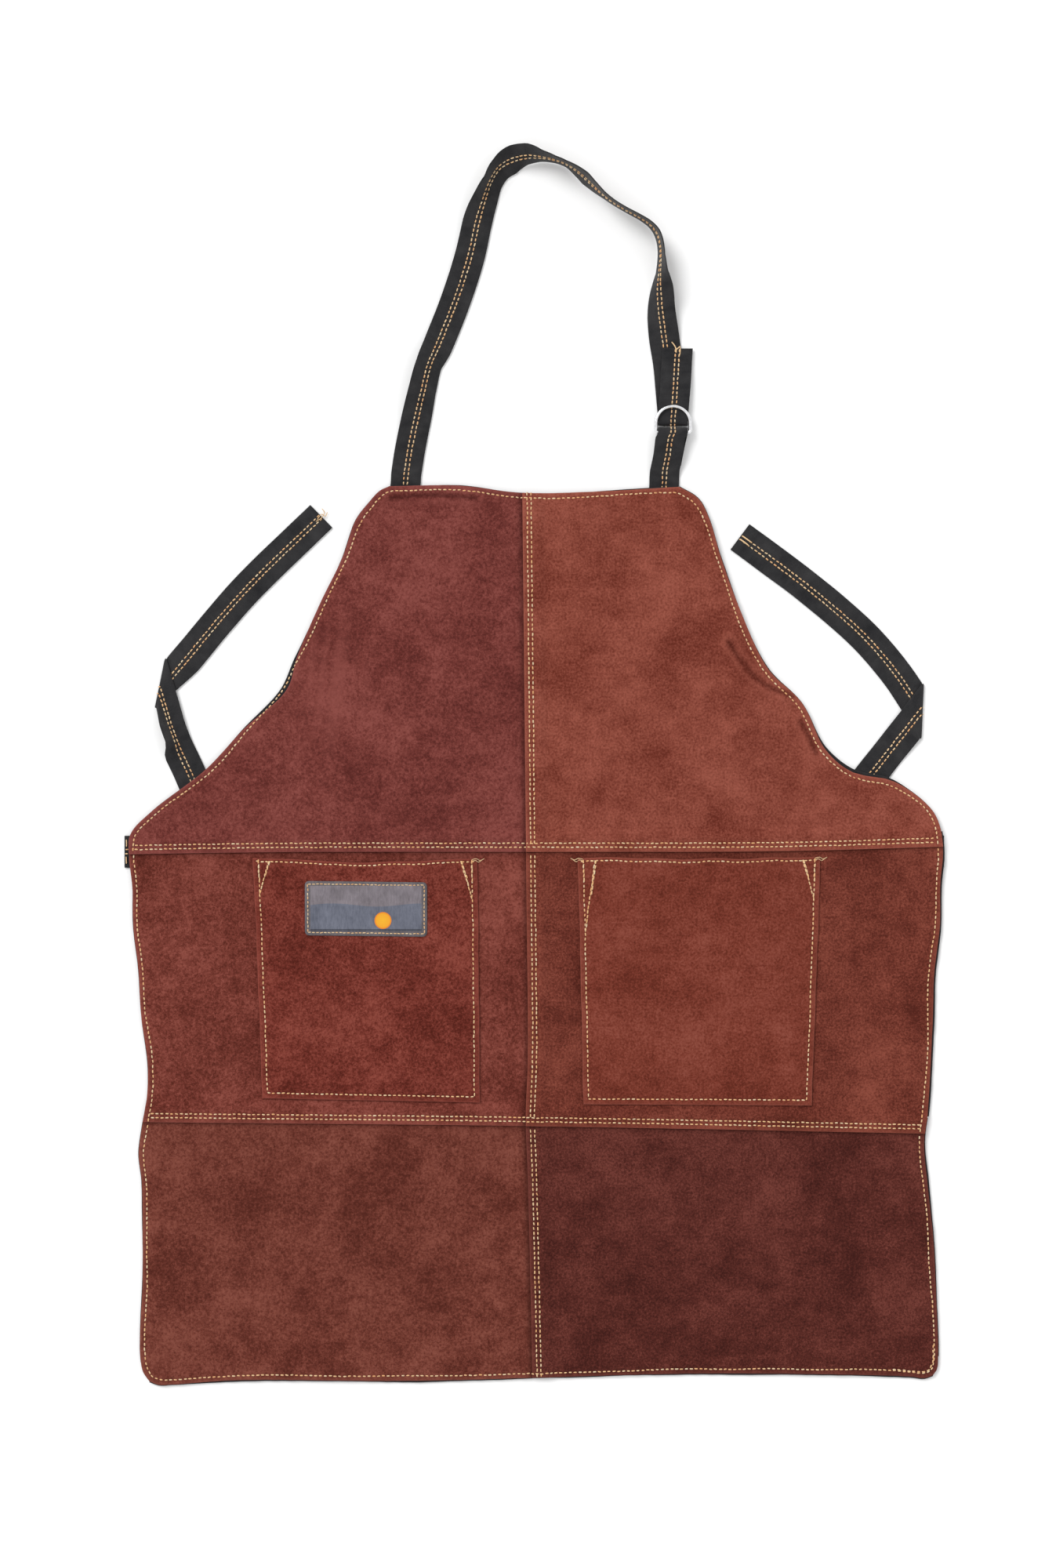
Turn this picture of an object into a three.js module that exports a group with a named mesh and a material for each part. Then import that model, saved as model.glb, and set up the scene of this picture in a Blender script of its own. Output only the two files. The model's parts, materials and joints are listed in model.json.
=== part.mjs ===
// A split-leather welding apron lying flat, front face up.
// Millimetres. +X to the right as seen from above, +Y towards the neck, +Z up from the table.
// The origin is the middle of the outline's box, on the table.
import * as THREE from "three";

// ---- Driving dimensions ----
const leatherThickness = 1.4;
const strapThickness = 1.4;
const strapWidth = 25;
const facingThickness = 1.4;
const facingWidth = 13;
const gap = 0.3;
const lapPitch = leatherThickness + gap;
const ringWire = 2.6;
const ringWidth = 31;
const ringHeight = 24;
const pocketRise = 7;
const labelThickness = 0.8;
const threadWidth = 0.9;
const threadHeight = 0.5;

// The layers under and over the bib, from the table up.
const strapLevel = strapThickness / 2;
const secondLayerLevel = strapThickness * 1.5 + gap;
const upperLeather = 2 * (strapThickness + gap);
const lowerLeather = facingThickness + gap;

// A lap seam: the hidden tongue reaches past the seam line, the top panel's cut edge lies before it.
const lapTongue = 6;
const lapCutEdge = 5.6;
const lapStrip = 13;
const lapRamp = 6;
const rowSpacing = 3.3;

// Where the three sections fold, and the strap and ties swing.
const neckHingeY = 238;
const tieHingeX = 322;
const hipX = 335;

const leatherLook = { roughness: 0.95, metalness: 0 };
const clothLook = { roughness: 0.85, metalness: 0 };
const threadLook = { roughness: 0.7, metalness: 0 };
const steelLook = { roughness: 0.25, metalness: 1 };
const colours = {
  bibLeft: 0x763c36,
  bibRight: 0x844232,
  waistLeft: 0x733e39,
  waistRight: 0x6e342d,
  skirtLeft: 0x703a30,
  skirtRight: 0x5c2a26,
  pocketLeft: 0x733226,
  pocketRight: 0x7d3c2d,
  cloth: 0x2b2a2c,
  thread: 0xe6c696,
  label: 0x6d6a70,
  steel: 0xc9ccd0,
};

const apron = new THREE.Group();

function add(name, geometry, color, look) {
  const mesh = new THREE.Mesh(geometry, new THREE.MeshStandardMaterial({ color, ...look }));
  mesh.name = name;
  apron.add(mesh);
}

// ---- Small tools ----
const lerp = THREE.MathUtils.lerp;
const clamp = THREE.MathUtils.clamp;

function smoothCurve(points) {
  const places = points.map(([x, y, z = 0]) => new THREE.Vector3(x, y, z));
  return new THREE.CatmullRomCurve3(places, false, "centripetal");
}

// One coordinate of a curve as a function of another: along("y", "x", curve)(y) is x.
function along(from, to, curve) {
  const places = curve.getSpacedPoints(300);
  if (places[0][from] > places[places.length - 1][from]) places.reverse();
  return (value) => {
    let i = places.findIndex((place) => place[from] >= value);
    if (i < 0) i = places.length - 1;
    if (i === 0) i = 1;
    const before = places[i - 1];
    const after = places[i];
    const share = clamp((value - before[from]) / (after[from] - before[from] || 1), 0, 1);
    return lerp(before[to], after[to], share);
  };
}

// A box of the given number of steps along and across, each corner moved to its real place.
// place(i, j, k) gets the step along, the step across and 0 below or 1 above.
function shapedSlab(stepsAlong, stepsAcross, place) {
  const slab = new THREE.BoxGeometry(1, 1, 1, stepsAlong, stepsAcross, 1);
  const corners = slab.getAttribute("position");
  for (let n = 0; n < corners.count; n += 1) {
    const i = Math.round((corners.getX(n) + 0.5) * stepsAlong);
    const j = Math.round((corners.getY(n) + 0.5) * stepsAcross);
    const k = Math.round(corners.getZ(n) + 0.5);
    corners.setXYZ(n, ...place(i, j, k));
  }
  slab.computeVertexNormals();
  return slab;
}

// ---- The outline and the seam lines ----
const leftSide = smoothCurve([
  [-318.5, -510.5], [-324, -502.5], [-326.5, -488], [-326.2, -470],
  [-324.5, -406], [-321, -300], [-326, -211], [-332, -125], [-335.7, -71],
  [-334, -57], [-316, -38], [-272, -4], [-240, 30], [-205, 62], [-196, 90], [-177, 134], [-159, 171],
  [-146, 204], [-135, 220], [-120, 230.5],
]);
const rightSide = smoothCurve([
  [330, -505.5], [334, -500], [335.2, -488],
  [333, -438], [325, -328], [331, -211], [337.5, -126], [338, -67], [331, -40],
  [298, -14], [263, -6], [241, 12.5], [222, 50.5], [193, 80], [171, 126.5], [154, 173],
  [145, 203], [136, 220], [120, 230],
]);
const leftX = along("y", "x", leftSide);
const rightX = along("y", "x", rightSide);
const topY = along("x", "y", smoothCurve([[-120, 230.5], [-62, 231], [-10, 225], [50, 226], [120, 230]]));
const hem = smoothCurve([
  [-318.5, -510.5], [-311, -513.4], [-300, -513.2], [-245, -509.5], [-100, -510], [140, -504],
  [310, -506.4], [323, -507.8], [330, -505.5],
]);
const hemY = along("x", "y", hem);
const centreSeam = smoothCurve([[-4.4, 231], [-1, -100], [0.2, -243], [-1.5, -292], [0.2, -341], [4.2, -512]]);
const upperSeam = smoothCurve([[-340, -68.6], [-222, -66.8], [0, -66.5], [200, -66], [340, -62.2]]);
const lowerSeam = smoothCurve([[-340, -290], [0, -293.5], [340, -300]]);
const centreX = along("y", "x", centreSeam);
const upperSeamY = along("x", "y", upperSeam);
const lowerSeamY = along("x", "y", lowerSeam);
const upperCutY = (x) => upperSeamY(x) - lapCutEdge;
const lowerCutY = (x) => lowerSeamY(x) - lapCutEdge;

// The leather lies a strap's thickness higher over the straps than over the skirt.
const slopeTopY = -90;
const slopeFootY = -250;
function leatherBase(y) {
  return lerp(lowerLeather, upperLeather, clamp((y - slopeFootY) / (slopeTopY - slopeFootY), 0, 1));
}

// 1 on the lap strip beside a cut edge, falling to 0 over the ramp.
const lapShare = (distance) => clamp((lapStrip + lapRamp - distance) / lapRamp, 0, 1);

function leatherBottom(panel, x, y) {
  const centreLap = panel.isRight ? lapShare(x - centreX(y) + lapCutEdge) : 0;
  const lowerLap = panel.cutY ? lapShare(y - panel.cutY(x)) : 0;
  return leatherBase(y) + lapPitch * (centreLap + lowerLap);
}

// ---- Leather panels ----
// Grid lines at the edge, the end of the lap strip, the foot of its ramp, and then evenly.
function gridStops(lapped, count) {
  const stops = lapped ? [[0, 0], [lapStrip, 0]] : [];
  const start = lapped ? lapStrip + lapRamp : 0;
  for (let n = 0; n <= count; n += 1) stops.push([start, n / count]);
  return stops;
}

function stopAt([distance, share], span) {
  return distance + share * (span - distance);
}

// Where a grid point of a panel lies: the edges bend, so its x and y settle together.
function gridPoint(panel, stopX, stopY) {
  let x = 0;
  let y = (panel.bottomY(0) + panel.topY(0)) / 2;
  const settleRounds = 6;
  for (let round = 0; round < settleRounds; round += 1) {
    const inner = centreX(y) + (panel.isRight ? -lapCutEdge : lapTongue);
    const outer = panel.isRight ? rightX(y) : leftX(y);
    const reach = stopAt(stopX, Math.abs(outer - inner));
    x = panel.isRight ? inner + reach : outer + reach;
    const low = panel.bottomY(x);
    y = low + stopAt(stopY, panel.topY(x) - low);
  }
  return [x, y];
}

function leatherPanel(name, panel, color, cells = 8) {
  const stopsX = gridStops(panel.isRight, cells);
  const stopsY = gridStops(Boolean(panel.cutY), cells);
  const slab = shapedSlab(stopsX.length - 1, stopsY.length - 1, (i, j, k) => {
    const [x, y] = gridPoint(panel, stopsX[i], stopsY[j]);
    return [x, y, leatherBottom(panel, x, y) + k * leatherThickness];
  });
  add(name, slab, color, leatherLook);
}

// The tongue of a right-hand panel stops short of the centre lap, where three layers already meet.
function tongueY(seamY, cutY, isRight) {
  return (x) => {
    const pastCut = x - centreX(seamY(x)) + lapCutEdge;
    const onLap = isRight ? clamp((lapStrip + lapRamp - pastCut) / lapRamp, 0, 1) : 0;
    return lerp(seamY(x) + lapTongue, cutY(x) - gap, onLap);
  };
}

const panels = {};
for (const isRight of [false, true]) {
  const side = isRight ? "right" : "left";
  panels["bib_" + side] = { isRight, bottomY: upperCutY, topY, cutY: upperCutY };
  panels["waist_" + side] = {
    isRight,
    bottomY: lowerCutY,
    topY: tongueY(upperSeamY, upperCutY, isRight),
    cutY: lowerCutY,
  };
  panels["skirt_" + side] = { isRight, bottomY: hemY, topY: tongueY(lowerSeamY, lowerCutY, isRight) };
}

function leatherPanels() {
  leatherPanel("bib_panel_left", panels.bib_left, colours.bibLeft, 10);
  leatherPanel("bib_panel_right", panels.bib_right, colours.bibRight, 10);
  leatherPanel("waist_panel_left", panels.waist_left, colours.waistLeft);
  leatherPanel("waist_panel_right", panels.waist_right, colours.waistRight);
  leatherPanel("skirt_panel_left", panels.skirt_left, colours.skirtLeft);
  leatherPanel("skirt_panel_right", panels.skirt_right, colours.skirtRight);
}

// ---- Flat lines that follow the apron: facing tape and thread ----
// Points of a curve between two shares of its length, with the sideways direction to its left.
function runPoints(curve, from, to, step) {
  const count = Math.max(2, Math.round((Math.abs(to - from) * curve.getLength()) / step));
  const points = [];
  for (let n = 0; n <= count; n += 1) {
    const share = lerp(from, to, n / count);
    const at = curve.getPointAt(share);
    const heading = curve.getTangentAt(share);
    if (to < from) heading.negate();
    points.push({ at, side: new THREE.Vector3(-heading.y, heading.x, 0).normalize() });
  }
  return points;
}

// A strip over run points, from one sideways distance to another; levelAt gives its underside.
function flatStrip(points, sideFrom, sideTo, thickness, levelAt) {
  return shapedSlab(points.length - 1, 1, (i, j, k) => {
    const { at, side } = points[i];
    const out = lerp(sideFrom, sideTo, j);
    const x = at.x + side.x * out;
    const y = at.y + side.y * out;
    return [x, y, levelAt(x, y, at) + k * thickness];
  });
}

// Share of a curve's length at which one of its coordinates passes a value.
function shareWhere(curve, axis, value) {
  const samples = 600;
  let best = 0;
  for (let n = 0; n <= samples; n += 1) {
    const here = Math.abs(curve.getPointAt(n / samples)[axis] - value);
    if (here < Math.abs(curve.getPointAt(best / samples)[axis] - value)) best = n;
  }
  return best / samples;
}

const facingLevel = (x, y) => leatherBase(y) - facingThickness - gap;

// Facing tape behind an edge; the curve runs with the apron on its left when inside is 1.
function facing(name, curve, from, to, inside) {
  const overhang = 1;
  const points = runPoints(curve, from, to, 16);
  const edges = inside > 0 ? [-overhang, facingWidth] : [-facingWidth, overhang];
  add(name, flatStrip(points, ...edges, facingThickness, facingLevel), colours.cloth, clothLook);
}

function facings() {
  const sides = [
    ["left", leftSide, -1],
    ["right", rightSide, 1],
  ];
  for (const [side, curve, inside] of sides) {
    const edgeX = inside * hipX;
    const hip = shareWhere(curve, "y", upperSeamY(edgeX) + lapTongue + 2);
    const fold = shareWhere(curve, "y", lowerSeamY(edgeX) + lapTongue + 2);
    const hemTop = shareWhere(curve, "y", hemY(edgeX) + facingWidth + 2);
    const split = 0.002;
    facing("armhole_facing_" + side, curve, hip + split, 1, inside);
    facing("waist_facing_" + side, curve, fold + split, hip - split, inside);
    facing("skirt_facing_" + side, curve, hemTop, fold - split, inside);
  }
  const top = smoothCurve([[-110, 230.6], [-62, 231], [-10, 225], [50, 226], [111, 229.4]]);
  facing("top_facing", top, 0, 1, -1);
  facing("hem_facing", hem, 0, 1, 1);
}

// The top of the leather close to a place, so that a thread clears every step of the laps near it.
function leatherTopNear(panelsHere, x, y, reach) {
  let top = 0;
  const looks = [-1, -0.5, 0, 0.5, 1].map((share) => share * reach);
  for (const dx of looks) {
    for (const dy of looks) {
      for (const panel of panelsHere) {
        const isHere = panel.isRight === x + dx > centreX(y + dy) - lapCutEdge;
        if (isHere) top = Math.max(top, leatherBottom(panel, x + dx, y + dy) + leatherThickness);
      }
    }
  }
  return top + gap;
}

const threadStep = 22;
function threadRun(name, panelsHere, curves) {
  let points = [];
  for (const curve of curves) points = points.concat(runPoints(curve, 0, 1, threadStep));
  const level = (x, y, at) => leatherTopNear(panelsHere, at.x, at.y, threadStep);
  const half = threadWidth / 2;
  add(name, flatStrip(points, -half, half, threadHeight, level), colours.thread, threadLook);
}

function seamLine(from, to, place) {
  const count = 8;
  const points = [];
  for (let n = 0; n <= count; n += 1) points.push(place(lerp(from, to, n / count)));
  return smoothCurve(points);
}

// Points of a side curve moved inwards, between two heights.
function insetSide(curve, inside, fromY, toY, inset) {
  const from = shareWhere(curve, "y", fromY);
  const to = shareWhere(curve, "y", toY);
  return runPoints(curve, from, to, 30).map(({ at, side }) => {
    const turn = to > from ? inside : -inside;
    return [at.x + side.x * inset * turn, at.y + side.y * inset * turn];
  });
}

const edgeInset = 4;
function edgeThreads() {
  const bib = [panels.bib_left, panels.bib_right];
  const waist = [panels.waist_left, panels.waist_right];
  const skirt = [panels.skirt_left, panels.skirt_right];
  const topRow = seamLine(-112, 112, (x) => [x, topY(x) - edgeInset]).points.map((p) => [p.x, p.y]);
  const bibEdge = [
    ...insetSide(leftSide, -1, -54, 224, edgeInset),
    ...topRow,
    ...insetSide(rightSide, 1, 224, -50, edgeInset),
  ];
  threadRun("bib_edge_thread", bib, [smoothCurve(bibEdge)]);
  for (const [side, curve, inside] of [["left", leftSide, -1], ["right", rightSide, 1]]) {
    const waistEdge = insetSide(curve, inside, -82, -284, edgeInset);
    threadRun("waist_edge_thread_" + side, waist, [smoothCurve(waistEdge)]);
  }
  const hemRow = seamLine(-306, 322, (x) => [x, hemY(x) + edgeInset]).points.map((p) => [p.x, p.y]);
  const skirtEdge = [
    ...insetSide(leftSide, -1, -312, -494, edgeInset),
    ...hemRow,
    ...insetSide(rightSide, 1, -486, -316, edgeInset),
  ];
  threadRun("skirt_edge_thread", skirt, [smoothCurve(skirtEdge)]);
}

// Two parallel rows of a double-stitched seam.
function doubleRow(name, panelsHere, from, to, place) {
  const rowNames = ["_a", "_b"];
  rowNames.forEach((suffix, n) => {
    const shift = (n - 0.5) * rowSpacing;
    threadRun(name + suffix, panelsHere, [seamLine(from, to, (value) => place(value, shift))]);
  });
}

function seamThreads() {
  const bib = [panels.bib_left, panels.bib_right];
  const waist = [panels.waist_left, panels.waist_right];
  const skirt = [panels.skirt_left, panels.skirt_right];
  const down = (y, shift) => [centreX(y) + shift, y];
  doubleRow("bib_centre_thread", bib, -60, 218, down);
  doubleRow("waist_centre_thread", waist, -285, -78, down);
  doubleRow("skirt_centre_thread", skirt, -501.5, -304, down);
  doubleRow("upper_seam_thread", bib, -326, 328, (x, shift) => [x, upperSeamY(x) + shift]);
  doubleRow("lower_seam_thread", waist, -314, 314, (x, shift) => [x, lowerSeamY(x) + shift]);
}

// ---- Pockets ----
const pockets = {
  left: { corners: [[-232.6, -76.5], [-225, -276], [-45, -279.6], [-47, -76.5]], color: colours.pocketLeft },
  right: { corners: [[36, -76.5], [40.6, -281], [229.5, -282], [236.7, -76.5]], color: colours.pocketRight },
};
const flankWidth = 24;

function pocketPoint(corners, u, v) {
  const [topLeft, bottomLeft, bottomRight, topRight] = corners;
  const x = lerp(lerp(bottomLeft[0], bottomRight[0], u), lerp(topLeft[0], topRight[0], u), v);
  const y = lerp(lerp(bottomLeft[1], bottomRight[1], u), lerp(topLeft[1], topRight[1], u), v);
  return [x, y];
}

// The pocket stands off the waist panel in its middle and comes down to it along three sewn edges.
function pocketUnderside(corners, u, v) {
  const [x, y] = pocketPoint(corners, u, v);
  const width = corners[3][0] - corners[0][0];
  const height = corners[3][1] - corners[2][1];
  const fromEdge = Math.min(u * width, (1 - u) * width, v * height);
  const share = clamp(fromEdge / flankWidth, 0, 1);
  const rise = pocketRise * Math.sin((share * Math.PI) / 2);
  return [x, y, leatherBase(y) + leatherThickness + gap + rise];
}

function pocketStops(corners) {
  const flankX = flankWidth / (corners[3][0] - corners[0][0]);
  const flankY = flankWidth / (corners[3][1] - corners[2][1]);
  const flankStops = [0, flankX / 3, flankX * 0.67, flankX];
  const uStops = [...flankStops, 0.37, 0.63, ...flankStops.map((stop) => 1 - stop).reverse()];
  const vStops = [0, flankY / 3, flankY * 0.67, flankY, 0.35, 0.55, 0.78, 1];
  return { uStops, vStops };
}

function pocket(name, { corners, color }) {
  const { uStops, vStops } = pocketStops(corners);
  const tray = shapedSlab(uStops.length - 1, vStops.length - 1, (i, j, k) => {
    const [x, y, z] = pocketUnderside(corners, uStops[i], vStops[j]);
    return [x, y, z + k * leatherThickness];
  });
  add(name, tray, color, leatherLook);
}

function pocketThread(name, corners, places) {
  const points = places.map(([u, v]) => {
    const [x, y, z] = pocketUnderside(corners, u, v);
    return [x, y, z + leatherThickness + gap + threadLift];
  });
  const at = points.map(([x, y, z]) => new THREE.Vector3(x, y, z));
  const half = threadWidth / 2;
  const strip = shapedSlab(at.length - 1, 1, (i, j, k) => {
    const before = at[Math.max(i - 1, 0)];
    const after = at[Math.min(i + 1, at.length - 1)];
    const heading = after.clone().sub(before).setZ(0).normalize();
    const out = lerp(-half, half, j);
    return [at[i].x - heading.y * out, at[i].y + heading.x * out, at[i].z + k * threadHeight];
  });
  add(name, strip, colours.thread, threadLook);
}

// The rows of stitches run at these shares of a pocket's width and height.
const sewn = 0.022;
const hemShare = 0.97;
const threadTop = 0.94;
const threadLift = 0.8;

function pocketsAndThreads() {
  for (const [side, shape] of Object.entries(pockets)) {
    pocket("pocket_" + side, shape);
    const { uStops, vStops } = pocketStops(shape.corners);
    const down = [...vStops.filter((stop) => stop > sewn && stop < threadTop), threadTop].reverse();
    const sides = [
      ...down.map((v) => [sewn, v]),
      ...uStops.filter((stop) => stop > sewn && stop < 1 - sewn).map((u) => [u, sewn]),
      ...down.reverse().map((v) => [1 - sewn, v]),
    ];
    pocketThread("pocket_thread_" + side, shape.corners, sides);
    pocketThread("pocket_hem_thread_" + side, shape.corners, uStops.map((u) => [u, hemShare]));
  }
}

// ---- Sewn-on label ----
const labelCorners = { left: -189, right: -89, bottom: -141, top: -97 };

function labelPatch() {
  const { left, right, bottom, top } = labelCorners;
  const radius = 5;
  const width = right - left;
  const height = top - bottom;
  const outline = new THREE.Shape();
  outline.moveTo(radius, 0);
  outline.lineTo(width - radius, 0);
  outline.absarc(width - radius, radius, radius, -Math.PI / 2, 0);
  outline.absarc(width - radius, height - radius, radius, 0, Math.PI / 2);
  outline.absarc(radius, height - radius, radius, Math.PI / 2, Math.PI);
  outline.absarc(radius, radius, radius, Math.PI, 1.5 * Math.PI);
  const solid = { depth: labelThickness, bevelEnabled: false, curveSegments: 4 };
  const patch = new THREE.ExtrudeGeometry(outline, solid);
  patch.translate(left, bottom, labelLevel());
  add("label_patch", patch, colours.label, clothLook);
}

// The label lies over the highest part of the pocket under it.
function labelLevel() {
  return leatherBase(labelCorners.top) + 2 * leatherThickness + 2 * gap + pocketRise;
}

function labelThread() {
  const { left, right, bottom, top } = labelCorners;
  const inset = 2.2;
  const level = labelLevel() + labelThickness + gap;
  const corners = [
    [left + inset, top - inset],
    [left + inset, bottom + inset],
    [right - inset, bottom + inset],
    [right - inset, top - inset],
  ];
  const outer = new THREE.Shape(corners.map(([x, y]) => new THREE.Vector2(x, y)));
  const inner = new THREE.Path();
  inner.moveTo(left + inset + threadWidth, top - inset - threadWidth);
  inner.lineTo(right - inset - threadWidth, top - inset - threadWidth);
  inner.lineTo(right - inset - threadWidth, bottom + inset + threadWidth);
  inner.lineTo(left + inset + threadWidth, bottom + inset + threadWidth);
  outer.holes.push(inner);
  const frame = new THREE.ExtrudeGeometry(outer, { depth: threadHeight, bevelEnabled: false });
  frame.translate(0, 0, level);
  add("label_thread", frame, colours.thread, threadLook);
}

// ---- Straps ----
// A strap through frames: each has the middle of the strap, its sideways direction and its face,
// or where its two halves lean differently, the way from its middle to each side and three faces.
function strapSolid(frames, width, thickness) {
  return shapedSlab(frames.length - 1, 2, (i, j, k) => {
    const { at, side, face, ways, faces } = frames[i];
    const place = at.clone();
    if (ways) place.addScaledVector(ways[j], width / 2);
    else place.addScaledVector(side, (width / 2) * (j - 1));
    place.addScaledVector(faces ? faces[j] : face, thickness * (k - 0.5));
    return place.toArray();
  });
}

// Up the left of the neck, over and down to the buckle: x and y of the strap's middle,
// and how steeply its outer and inner halves lean, in degrees.
const neckRoute = [
  [-106.2, 240.4, 0, 0],
  [-103, 261.6, 0, 0],
  [-98, 285, 6, 12],
  [-92.5, 308, 20, 32],
  [-86.8, 331.2, 30, 36],
  [-80.5, 346, 14, 10],
  [-74.4, 361, 4, 4],
  [-62.7, 391.6, 4, 4],
  [-53, 422.8, 6, 8],
  [-47.1, 449.5, 14, 14],
  [-42.4, 467, 46, 20],
  [-37, 483, 70, 30],
  [-29.5, 494.5, 62, 24],
  [-18, 500.6, 30, 34],
  [-6, 503.2, 32, 64],
  [6, 504.4, 62, 66],
  [18, 502.6, 76, 72],
  [28, 499.6, 80, 62],
  [36, 495.2, 76, 60],
  [43.5, 489, 66, 60],
  [52, 480.5, 68, 68],
  [60, 472.6, 72, 78],
  [68.3, 465.8, 75, 81],
  [78, 459.4, 78, 81],
  [88, 453.6, 78, 80],
  [97, 448, 78, 76],
  [103, 441, 75, 71],
  [106.3, 431, 75, 70],
  [106.8, 420, 73, 71],
  [105.3, 408, 57, 73],
  [103.7, 396, 26, 62],
  [103.6, 384, 4, 46],
  [104.8, 372, 0, 28],
  [106.6, 360, 0, 14],
  [108.5, 348, 0, 0],
  [110.5, 335, 0, 0],
  [113, 310, 0, 0],
  [114.7, 290, 0, 0],
];

// Frames of a strap that lies on its inner edge along a route, its halves leaning as the route says.
function leaningFrames(route, steps) {
  const curve = smoothCurve(route.map(([x, y]) => [x, y]));
  const leanAlong = (column) => along("x", "y", smoothCurve(route.map((point, n) => [n, point[column]])));
  const outerLean = leanAlong(2);
  const innerLean = leanAlong(3);
  const frames = [];
  for (let n = 0; n <= steps; n += 1) {
    const at = curve.getPoint(n / steps);
    const heading = curve.getTangent(n / steps).setZ(0).normalize();
    const outwards = new THREE.Vector3(-heading.y, heading.x, 0);
    const leaning = (lean) => {
      const angle = THREE.MathUtils.degToRad(clamp(lean, 0, 88));
      return outwards.clone().multiplyScalar(Math.cos(angle)).setZ(Math.sin(angle));
    };
    const stop = (n / steps) * (route.length - 1);
    const outer = leaning(outerLean(stop));
    const inner = leaning(innerLean(stop));
    const outerFace = heading.clone().cross(outer);
    const innerFace = heading.clone().cross(inner);
    const middleFace = outerFace.clone().add(innerFace).normalize();
    at.z = strapLevel + (strapWidth / 2) * inner.z;
    frames.push({
      at,
      ways: [inner.clone().negate(), new THREE.Vector3(), outer],
      faces: [innerFace, middleFace, outerFace],
    });
  }
  return frames;
}

// The D-ring buckle, from the table up: strap, lower ring, strap, upper ring, fold of the buckle strap.
const buckleX = 114.7;
const barY = 275;
const lowerRingZ = strapThickness + gap + ringWire / 2;
const tailZ = lowerRingZ + ringWire / 2 + gap + strapThickness / 2;
const upperRingZ = tailZ + strapThickness / 2 + gap + ringWire / 2;
const foldTopZ = upperRingZ + ringWire / 2 + gap + strapThickness / 2;

// Frames of a flat strap that turns back over itself about a sideways line, from below to above.
function turnBack(x, y, lowZ, highZ, steps) {
  const radius = (highZ - lowZ) / 2;
  const frames = [];
  for (let n = 1; n < steps; n += 1) {
    const turn = (Math.PI * n) / steps;
    const out = new THREE.Vector3(0, -Math.sin(turn), -Math.cos(turn));
    const at = new THREE.Vector3(x, y, (lowZ + highZ) / 2).addScaledVector(out, radius);
    frames.push({ at, side: new THREE.Vector3(1, 0, 0), face: out.clone().negate() });
  }
  return frames;
}

function flatFrame(x, y, z, sideX, upwards) {
  return {
    at: new THREE.Vector3(x, y, z),
    side: new THREE.Vector3(sideX, 0, 0),
    face: new THREE.Vector3(0, 0, upwards),
  };
}

function neckStrap() {
  const strapTurnY = 283.5;
  const frames = leaningFrames(neckRoute, 96);
  frames.push(flatFrame(buckleX, strapTurnY + 1, strapLevel, 1, 1));
  frames.push(...turnBack(buckleX, strapTurnY, strapLevel, tailZ, 8));
  frames.push(flatFrame(buckleX, strapTurnY + 1, tailZ, 1, -1));
  frames.push(flatFrame(buckleX + 1.2, 300, tailZ, 1, -1));
  frames.push(flatFrame(buckleX + 2, 312, tailZ - 0.6, 1, -1));
  frames.push(flatFrame(buckleX + 3, 328, secondLayerLevel + 0.6, 1, -1));
  frames.push(flatFrame(buckleX + 4, 344.8, secondLayerLevel, 1, -1));
  add("neck_strap", strapSolid(frames, strapWidth, strapThickness), colours.cloth, clothLook);
}

// From the sewn end up over both ring bars, round them and back beneath to just above the bib.
function buckleStrap() {
  const foldTurnY = barY - 0.8;
  const foldRadius = (foldTopZ - strapLevel) / 2;
  const slopeY = neckHingeY + 6;
  const frames = [
    flatFrame(107.9, neckHingeY + 0.5, strapLevel, -1, 1),
    flatFrame(108.2, slopeY, secondLayerLevel + 0.3, -1, 1),
    flatFrame(110.6, slopeY + 12, secondLayerLevel + 4.5, -1, 1),
    flatFrame(112.4, foldTurnY - 4, foldTopZ, -1, 1),
  ];
  const steps = 8;
  for (let n = 0; n <= steps; n += 1) {
    const turn = (Math.PI * n) / steps;
    const out = new THREE.Vector3(0, Math.sin(turn), Math.cos(turn));
    const at = new THREE.Vector3(buckleX, foldTurnY, strapLevel + foldRadius);
    at.addScaledVector(out, foldRadius);
    frames.push({ at, side: new THREE.Vector3(-1, 0, 0), face: out });
  }
  frames.push(flatFrame(112.4, foldTurnY - 10, strapLevel, -1, -1));
  frames.push(flatFrame(109.4, slopeY + 4, strapLevel, -1, -1));
  add("buckle_strap", strapSolid(frames, strapWidth - 0.4, strapThickness), colours.cloth, clothLook);
}

// A ring of round wire bent to a D, its flat bar at y = 0.
function dRing(name, z) {
  const halfWidth = (ringWidth - ringWire) / 2;
  const cornerRadius = 1.6;
  const arcY = ringHeight - ringWire - halfWidth;
  const outline = new THREE.Shape();
  outline.moveTo(0, 0);
  outline.lineTo(halfWidth - cornerRadius, 0);
  outline.absarc(halfWidth - cornerRadius, cornerRadius, cornerRadius, -Math.PI / 2, 0);
  outline.absarc(0, arcY, halfWidth, 0, Math.PI);
  outline.absarc(cornerRadius - halfWidth, cornerRadius, cornerRadius, Math.PI, 1.5 * Math.PI);
  outline.closePath();
  const sides = 8;
  const bends = 48;
  const ring = new THREE.TorusGeometry(halfWidth, ringWire / 2, sides, bends);
  const corners = ring.getAttribute("position");
  for (let n = 0; n < corners.count; n += 1) {
    const x = corners.getX(n);
    const y = corners.getY(n);
    const angle = (Math.atan2(y, x) / (2 * Math.PI) + 1.5) % 1;
    const share = (Math.round(angle * bends) % bends) / bends;
    const at = outline.getPointAt(share);
    const heading = outline.getTangentAt(share);
    const out = Math.hypot(x, y) - halfWidth;
    corners.setXY(n, at.x + heading.y * out, at.y - heading.x * out);
  }
  ring.translate(buckleX, barY, z);
  add(name, ring, colours.steel, steelLook);
}

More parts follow.
